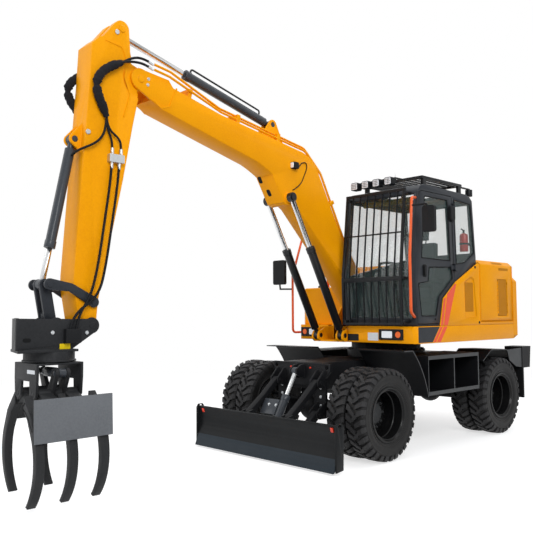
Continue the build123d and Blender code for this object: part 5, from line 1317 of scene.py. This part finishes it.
    def _bodywork(self) -> None:
        """Add the plugs, the latch, the vents, the mesh panels, the door's handle and the tank's cap."""
        y = self.side_y
        pads("upper", LEFT, (
            ("hood_plug", SEAL_AND_HOLE_SHADE, (-0.521, y, 2.276), disc(0.034, 0.006)),
            ("hood_latch", SEAL_AND_HOLE_SHADE, (-0.600, y, 1.548), disc(0.034, 0.006)),
            ("recess_mesh", MESH_AMBER, (-0.375, 1.231, 1.880), (0.205, 0.380, 0.003, 0.012)),
            ("grille_mesh", MESH_AMBER, (-1.2475, y - 0.0035, 1.8845), (0.251, 0.497, 0.004, 0.004))))
        pads("upper", (0, 0.707, 0.707), (
            ("hood_vent_high", MESH_AMBER, (-1.150, 1.217, 2.353), (0.28, 0.040, 0.002, 0.008)),))
        pads("upper", LEFT, (("hood_vent_low", MESH_AMBER, (-1.290, y, 2.277), (0.27, 0.036, 0.002, 0.008)),))
        pads("door", LEFT, (("handle_recess", SEAL_AND_HOLE_SHADE, (0.631, 1.222, 2.187), (0.082, 0.150, 0.003, 0.020)),
                            ("door_handle", PLASTIC, (0.640, 1.224, 2.187), (0.030, 0.120, 0.022, 0.012))))
        pads("upper", LEFT, (("cab_plug", SEAL_AND_HOLE_SHADE, (0.420, 1.2225, 1.600), disc(0.026, 0.004)),))
        cap = Draft().upright([(0.0, 0.0), (0.056, 0.0), (0.058, 0.006), (0.058, 0.030), (0.052, 0.038),
                               (0.0, 0.040)], at(0.05, -0.95, 2.0498))
        settle(cap.object("tank_cap", PLASTIC, smooth=30.0), "upper")

    def _seals(self) -> None:
        """Run a rubber seal round both windows of the door and round the one behind it."""
        for name, body, outline in self.seals:
            corners = [at(x, self.cab_face_y, z) for x, z in outline]
            start = (corners[0] + corners[-1]) / 2
            pipe(name, [start, *corners, start], self.seal_radius, self.seal_bend, SEAL_AND_HOLE_SHADE, body, 8)

    def _seat(self) -> None:
        """Add the seat: three cushions on a base, the arm consoles and the two levers."""
        for name, outline, low, high, cap in self.cushions:
            cushion = cushioned(name, outline, low, high, cap, CLOTH)
            settle(cushion, "upper", ("seat",) if name == "seat_cushion" else ())
        pan_z = self.seat_under_z - self.seat_pan
        base = Draft().box((-0.14, 0.54, self.cab_floor_z), (0.20, 0.80, pan_z))
        base.box((-0.16, 0.45, pan_z), (0.29, 0.89, self.seat_under_z))
        base.plate(((-0.205, 1.90), (-0.165, 1.90), (-0.208, 2.60), (-0.238, 2.60)), 0.47, 0.87)
        for y in (0.63, 0.71):
            base.bar(at(-0.195, y, 2.58), at(-0.200, y, 2.70), 0.008)
        settle(base.object("seat_base", PLASTIC, 0.004), "upper")
        for hand, low in (("right", 0.33), ("left", 0.92)):
            self._console(hand, low)

    def _console(self, hand: str, low: float) -> None:
        """Add one arm console, which starts at a place across the cab, and its lever."""
        middle = low + self.console_width / 2
        outline = ((-0.12, 2.06), (0.33, 2.06), (0.33, 2.10), (0.24, 2.12), (-0.12, 2.12))
        console = Draft().plate(outline, low, low + self.console_width)
        console.box((-0.06, middle - 0.03, 1.87), (0.08, middle + 0.03, 2.065))
        settle(console.object(f"console_{hand}", PLASTIC, 0.008), "upper")
        boot = [(0.0, 0.0), (0.036, 0.0), (0.034, 0.014), (0.027, 0.018), (0.027, 0.028), (0.020, 0.032),
                (0.012, 0.048), (0.0, 0.048)]
        lever = Draft().upright(boot, at(0.27, middle, 2.108), 24)
        grip = [at(x, middle, z) for x, z in ((0.27, 2.15), (0.274, 2.19), (0.268, 2.235), (0.276, 2.256))]
        lever.tube(grip, [0.012, 0.019, 0.021, 0.016], 14)
        settle(lever.object(f"lever_{hand}", SEAL_AND_HOLE_SHADE, smooth=40.0), "upper")

    def _inside(self) -> None:
        """Add the extinguisher and the rolled shade."""
        foot = at(-0.48, 1.115, 2.490)
        bottle = Draft().upright([(0.0, 0.0), (0.050, 0.0), (0.056, 0.010), (0.056, 0.205), (0.048, 0.232),
                                  (0.022, 0.248), (0.0, 0.250)], foot, 24)
        settle(bottle.object("extinguisher", EXTINGUISHER_RED, smooth=40.0), "upper")
        valve = Draft().bar(foot + Vector((0, 0, 0.247)), foot + Vector((0, 0, 0.285)), 0.014, 12)
        valve.bar(foot + Vector((-0.02, 0, 0.283)), foot + Vector((0.06, 0, 0.300)), 0.009, 8)
        settle(valve.object("extinguisher_valve", PLASTIC), "upper")
        strap = Draft().upright([(0.0565, 0.09), (0.0585, 0.09), (0.0585, 0.115), (0.0565, 0.115)], foot, 24)
        strap.box((-0.60, 1.09, 2.575), (-0.535, 1.14, 2.61))
        settle(strap.object("extinguisher_strap", PLASTIC), "upper")
        shade = Draft().bar(at(0.60, 0.30, 3.085), at(0.60, 1.02, 3.085), 0.034, 20)
        settle(shade.object("rolled_shade", SHADE_CLOTH, smooth=40.0), "upper")


@dataclass
class WorkingArm(Assembly):
    """The boom, the arm, the tool linkage and the grab with their cylinders."""

    coats = (("boom", AMBER, 0.006), ("arm", AMBER, 0.006), ("boom_ram_barrels", CYLINDER_BLACK, 0.003),
             ("boom_ram_rods", CHROME, 0.0), ("arm_ram_barrel", CYLINDER_GREY, 0.003),
             ("arm_ram_rod", CHROME, 0.0), ("tool_ram_barrel", CYLINDER_GREY, 0.003),
             ("tool_ram_rod", CHROME, 0.0), ("idler_links", CHARCOAL, 0.003), ("push_link", CHARCOAL, 0.003),
             ("tool_bracket", TOOL_GREY, 0.004), ("grab_frame", TOOL_GREY, 0.004),
             ("jaw_near", TOOL_GREY, 0.005), ("jaw_far", TOOL_GREY, 0.005),
             ("grab_ram_barrel", CYLINDER_GREY, 0.003), ("grab_ram_rod", CHROME, 0.0))

    near_face_y: float = 0.065
    arm_face_y: float = 0.058
    bracket_face_y: float = 0.092
    rib_half: float = 0.009
    rib_root: float = 0.001
    rib_height: float = 0.006
    pipe_radius: float = 0.0135
    pipe_bend: float = 0.16
    tip_y: float = 0.090
    tip_x: float = 3.800
    tips_z: tuple[float, float] = (4.194, 4.248)
    tip_hoses_y: tuple[float, float] = (0.118, 0.080)
    sleeve_radius: float = 0.043
    tip_hose_radius: float = 0.013
    arm_hose_radius: float = 0.0125
    tool_hose_radius: float = 0.012
    block_hose_radius: float = 0.011
    cylinder_pipe_radius: float = 0.011
    cylinder_pipe_bend: float = 0.03
    cable_radius: float = 0.006
    screw_radius: float = 0.013

    # The weld ribs: name, body, middle line.
    ribs = (("head_rib_high", "arm", ((4.330, 4.372), (4.150, 4.350), (4.118, 4.300), (4.092, 4.215))),
            ("head_rib_low", "arm", ((4.098, 4.120), (4.112, 4.040), (4.080, 3.960), (4.050, 3.885),
                                     (4.080, 3.760), (4.120, 3.640))),
            ("boom_tip_rib", "boom", ((3.480, 4.070), (3.565, 3.860), (3.679, 3.822), (3.770, 3.886))))
    # The way of the pipes along the boom's back, from its tip down.
    pipe_route = ((3.800, 4.157), (3.600, 4.128), (2.855, 3.911), (1.480, 3.690), (1.200, 3.440),
                  (0.744, 2.597), (0.470, 2.195))
    # The pipes on one side: place across, height over the boom.
    pipe_places = ((0.040, 0.040), (-0.004, 0.095))
    # The clamps of the pipes: station, height, lean.
    clamps = ((3.30, 4.0146, 0.229), (2.60, 3.8702, 0.159), (1.95, 3.7664, 0.159), (1.02, 3.0862, 1.058),
              (0.66, 2.4738, 0.972))
    # The sleeve over the boom's tip, and how far the far one bulges forward at each of its points.
    sleeve = ((4.170, 0.095, 4.170), (4.260, 0.104, 4.125), (4.370, 0.106, 4.050), (4.440, 0.106, 3.960),
              (4.455, 0.106, 3.870), (4.430, 0.102, 3.780), (4.380, 0.098, 3.690), (4.332, 0.094, 3.590))
    far_bulge = (0.0, 0.04, 0.08, 0.105, 0.110, 0.100, 0.070, 0.028)

    def build(self) -> None:
        """Add the ribs, the pipes, the hoses, the lamp, the caps and the plates."""
        self._eyes()
        self._ribs()
        self._boom_pipes()
        self._arm_cylinder_pipe()
        self._tip_hoses()
        self._arm_hoses()
        self._boom_lamp()
        self._tool_fittings()

    def _ribs(self) -> None:
        """Lay the weld ribs of the arm's head and of the boom's tip on both their faces."""
        faces = {"arm": self.arm_face_y, "boom": self.near_face_y}
        for name, body, line in self.ribs:
            for side, hand in FACES:
                face = sided(faces[body], side)
                low, high = sorted((face - self.rib_root * side, face + self.rib_height * side))
                rib = Draft()
                for (x0, z0), (x1, z1) in zip(line, line[1:]):
                    way = Vector((x1 - x0, z1 - z0)).normalized()
                    dx, dz = -self.rib_half * way[1], self.rib_half * way[0]
                    rib.plate(((x0 - dx, z0 - dz), (x1 - dx, z1 - dz), (x1 + dx, z1 + dz),
                               (x0 + dx, z0 + dz)), low, high)
                settle(rib.object(f"{hand}_{name}", AMBER), body)

    def _eyes(self) -> None:
        """Paint the eyes of the cylinders' rods, which aren't chromed."""
        for node, finish, x, z, reach in (("boom_ram_rods", CYLINDER_BLACK, 1.800, 3.090, 0.10),
                                          ("arm_ram_rod", CYLINDER_GREY, 4.149, 4.532, 0.085),
                                          ("tool_ram_rod", CYLINDER_GREY, 4.885, 1.955, 0.085)):
            repaint(self.dressed[node], finish, (x - reach, -0.5, z - reach), (x + reach, 0.3, z + reach))

    def _boom_pipes(self) -> None:
        """Run four pipes along the boom's back in clamps."""
        route = self.pipe_route
        ways = [Vector((after[0] - before[0], after[1] - before[1])).normalized()
                for before, after in zip(route, route[1:])]
        places = [(side, y, height) for side in (1, -1) for y, height in self.pipe_places]
        for number, (side, y, height) in enumerate(places):
            points = []
            for index, (x, z) in enumerate(route):
                way = ways[min(index, len(ways) - 1)] + ways[max(index - 1, 0)]
                out = Vector((way[1], -way[0])).normalized()
                across = sided(y if index > 1 else self.tip_y, side)
                points.append(at(x + height * out[0], across, z + height * out[1]))
            pipe(f"boom_pipe_{number}", points, self.pipe_radius, self.pipe_bend, AMBER, "boom")
        for number, (x, z, lean) in enumerate(self.clamps):
            place = Matrix.Translation(at(x, -0.078, z)) @ Matrix.Rotation(-lean, 4, "Y")
            clamp = Draft().pad(place, 0.05, 0.270, 0.100, 0.008)
            settle(clamp.object(f"pipe_clamp_{number}", AMBER), "boom")

    def _arm_cylinder_pipe(self) -> None:
        """Run a pipe along the back of the arm's cylinder."""
        along = Vector((0.9700, 0.0, 0.2435))
        off = Vector((-0.2435, 0.0, 0.9700))
        foot = at(1.970, BOOM_Y, 3.985)
        points = [foot + along * reach + off * height
                  for reach, height in ((1.27, 0.045), (1.27, 0.104), (0.20, 0.104), (0.20, 0.045))]
        pipe("arm_cylinder_pipe", points, self.cylinder_pipe_radius, self.cylinder_pipe_bend, CYLINDER_BLACK,
             "arm_ram_barrel")

    def _tip_hoses(self) -> None:
        """Add the sleeves over the boom's tip, and the hoses between them and the boom's pipes."""
        x = self.tip_x
        for side, hand in FACES:
            route = [(station if side > 0 else station + bulge, sided(y, side), z)
                     for (station, y, z), bulge in zip(self.sleeve, self.far_bulge)]
            settle(gathered(f"{hand}_sleeve", route, self.sleeve_radius, SLEEVE), "arm")
            for number, (z, y_end) in enumerate(zip(self.tips_z, self.tip_hoses_y)):
                y_pipe, y_hose = sided(self.tip_y, side), sided(y_end, side)
                hose = ((x, y_pipe, z), (x + 0.10, y_pipe, z + 0.030),
                        (x + 0.22, 0.5 * (y_pipe + y_hose), z + 0.020), (4.160, y_hose, 4.178),
                        (4.230, y_hose, 4.140))
                across_joint(f"{hand}_tip_hose_{number}", hose, self.tip_hose_radius, HOSE, ("boom", "arm"))
                self._fitting(f"{hand}_tip_fitting_{number}", (x - 0.004, y_pipe, z - 0.001),
                              (0.96, 0, 0.28), "boom")

    def _arm_hoses(self) -> None:
        """Add the valve block, and the hoses from the near sleeve down the arm with their fittings."""
        y = self.arm_face_y
        end = (4.334, y + 0.036, 3.60)
        block = Draft().pad(spot((4.220, y, 3.197), LEFT), 0.165, 0.080, 0.055, 0.008)
        settle(block.object("valve_block", ZINC), "arm")
        for number, x in enumerate((4.263, 4.165)):
            riser = (end, (4.325, y + 0.035, 3.48), (x + 0.02, y + 0.034, 3.40), (x, y + 0.030, 3.32),
                     (x, y + 0.028, 3.232))
            settle(flexible(f"block_hose_{number}", riser, self.block_hose_radius, HOSE), "arm")
            self._fitting(f"block_fitting_{number}", (x, y + 0.028, 3.236), UP, "arm")
        for number, (x, x_low) in enumerate(((4.268, 4.640), (4.185, 4.700))):
            down = ((x, y + 0.028, 3.158), (x + 0.01, y + 0.034, 3.00), (x + 0.07, y + 0.034, 2.60),
                    (x + 0.15, y + 0.058, 2.15), (x + 0.23, y + 0.068, 1.85), (x_low - 0.02, y + 0.068, 1.68),
                    (x_low, y + 0.064, 1.545))
            across_joint(f"arm_hose_{number}", down, self.arm_hose_radius, HOSE, ("arm", "tool_bracket"))
            self._fitting(f"arm_fitting_{number}", (x, y + 0.028, 3.157), (0, 0, -1), "arm")
        tool = (end, (4.345, y + 0.042, 3.46), (4.410, y + 0.046, 3.35), (4.500, y + 0.046, 3.285),
                (4.580, 0.075, 3.245), (4.620, 0.020, 3.215), (4.628, -0.030, 3.190))
        across_joint("tool_cylinder_hose", tool, self.tool_hose_radius, HOSE, ("arm", "tool_ram_barrel"))

    def _fitting(self, name: str, point: Point3, outward: Point3, body: str, radius: float = 0.017) -> None:
        """Add a swaged fitting with its hexagon nut at a hose's end."""
        place = spot(point, outward, LEFT)
        draft = Draft()
        for low, high, share, sides in ((-0.004, 0.020, 1.0, 6), (0.018, 0.062, 0.92, 16)):
            draft.bar(place @ Vector((0, 0, low)), place @ Vector((0, 0, high)), share * radius, sides)
        settle(draft.object(name, ZINC, smooth=30.0), body)

    def _boom_lamp(self) -> None:
        """Add the work lamp's lens on the boom and its cable."""
        repaint(self.dressed["boom"], PLASTIC, (1.655, 0.066, 3.455), (1.755, 0.13, 3.545))
        pads("boom", AHEAD, (("boom_lens", LENS, (1.750, 0.094, 3.500), (0.048, 0.064, 0.006, 0.010)),))
        y = self.near_face_y + self.cable_radius
        cable = ((1.662, 0.094, 3.49), (1.630, 0.090, 3.49), (1.560, y, 3.560), (1.470, y, 3.575),
                 (1.462, y, 3.500), (1.520, y, 3.390), (1.560, y, 3.310), (1.640, y, 3.240),
                 (1.720, y, 3.195))
        settle(flexible("boom_lamp_cable", cable, self.cable_radius, HOSE), "boom")

    def _tool_fittings(self) -> None:
        """Add the caps and the screws of the arm and the bracket, the blank plates by the tool, and dark pads
        of painted shade for the slots of the bracket and the boom.
        """
        repaint(self.dressed["tool_bracket"], PLASTIC, (4.595, 0.0925, 1.415), (4.755, 0.150, 1.555))
        repaint(self.dressed["jaw_near"], PLATE_GREY, (4.42, 0.37, 0.60), (5.18, 0.44, 0.985), LEFT)
        tip, bracket = self.near_face_y, self.bracket_face_y
        pads("arm", LEFT, (("head_cap_high", ZINC, (4.207, self.arm_face_y, 4.483), disc(0.050, 0.014)),
                           ("head_cap_low", ZINC, (4.512, self.arm_face_y, 3.419), disc(0.050, 0.014))))
        # The dark pads on the slots of the bracket and the boom are painted shade for the inside of the
        # slots.
        pads("tool_bracket", LEFT, (
            ("bracket_slot", SEAL_AND_HOLE_SHADE, (5.095, bracket, 1.456), (0.075, 0.036, 0.002, 0.0178)),))
        pads("boom", (0.86, 0, -0.52), (
            ("boom_slot_low", SEAL_AND_HOLE_SHADE, (2.044, -0.175, 3.313), (0.060, 0.090, 0.002, 0.020)),
            ("boom_slot_high", SEAL_AND_HOLE_SHADE, (1.949, -0.116, 3.156), (0.060, 0.090, 0.002, 0.020))))
        pads("tool_bracket", LEFT, (
            ("yellow_plate", YELLOW_PLATE, (4.734, bracket, 1.392), (0.105, 0.050, 0.002, 0.004)),))
        pads("grab_frame", AHEAD, (
            ("grab_plate", WHITE_PLATE, (5.025, 0.035, 1.175), (0.150, 0.034, 0.002, 0.004)),))
        for name, body, point in (("boom_tip_screw_0", "boom", (3.835, tip, 4.091)),
                                  ("boom_tip_screw_1", "boom", (3.844, tip, 4.028)),
                                  ("bracket_screw_0", "tool_bracket", (4.855, bracket, 1.520)),
                                  ("bracket_screw_1", "tool_bracket", (4.515, bracket, 1.512))):
            Screws(name, ZINC, body, point, LEFT, self.screw_radius).build()


def main() -> None:
    """Build the stage and every sub-assembly, and report each piece."""
    logging.basicConfig(level=logging.INFO, format="%(message)s")
    bpy.context.scene.view_settings.view_transform = "Standard"
    Stage().build()
    for end, x in (("front", HALF_WHEELBASE), ("rear", -HALF_WHEELBASE)):
        for side, hand in HANDS:
            Wheel(corner=f"{end}_{hand}", x=x, side=side).build()
    for assembly in (Undercarriage(), UpperStructure(), WorkingArm()):
        assembly.dress()
        assembly.build()


if __name__ == "__main__":
    main()
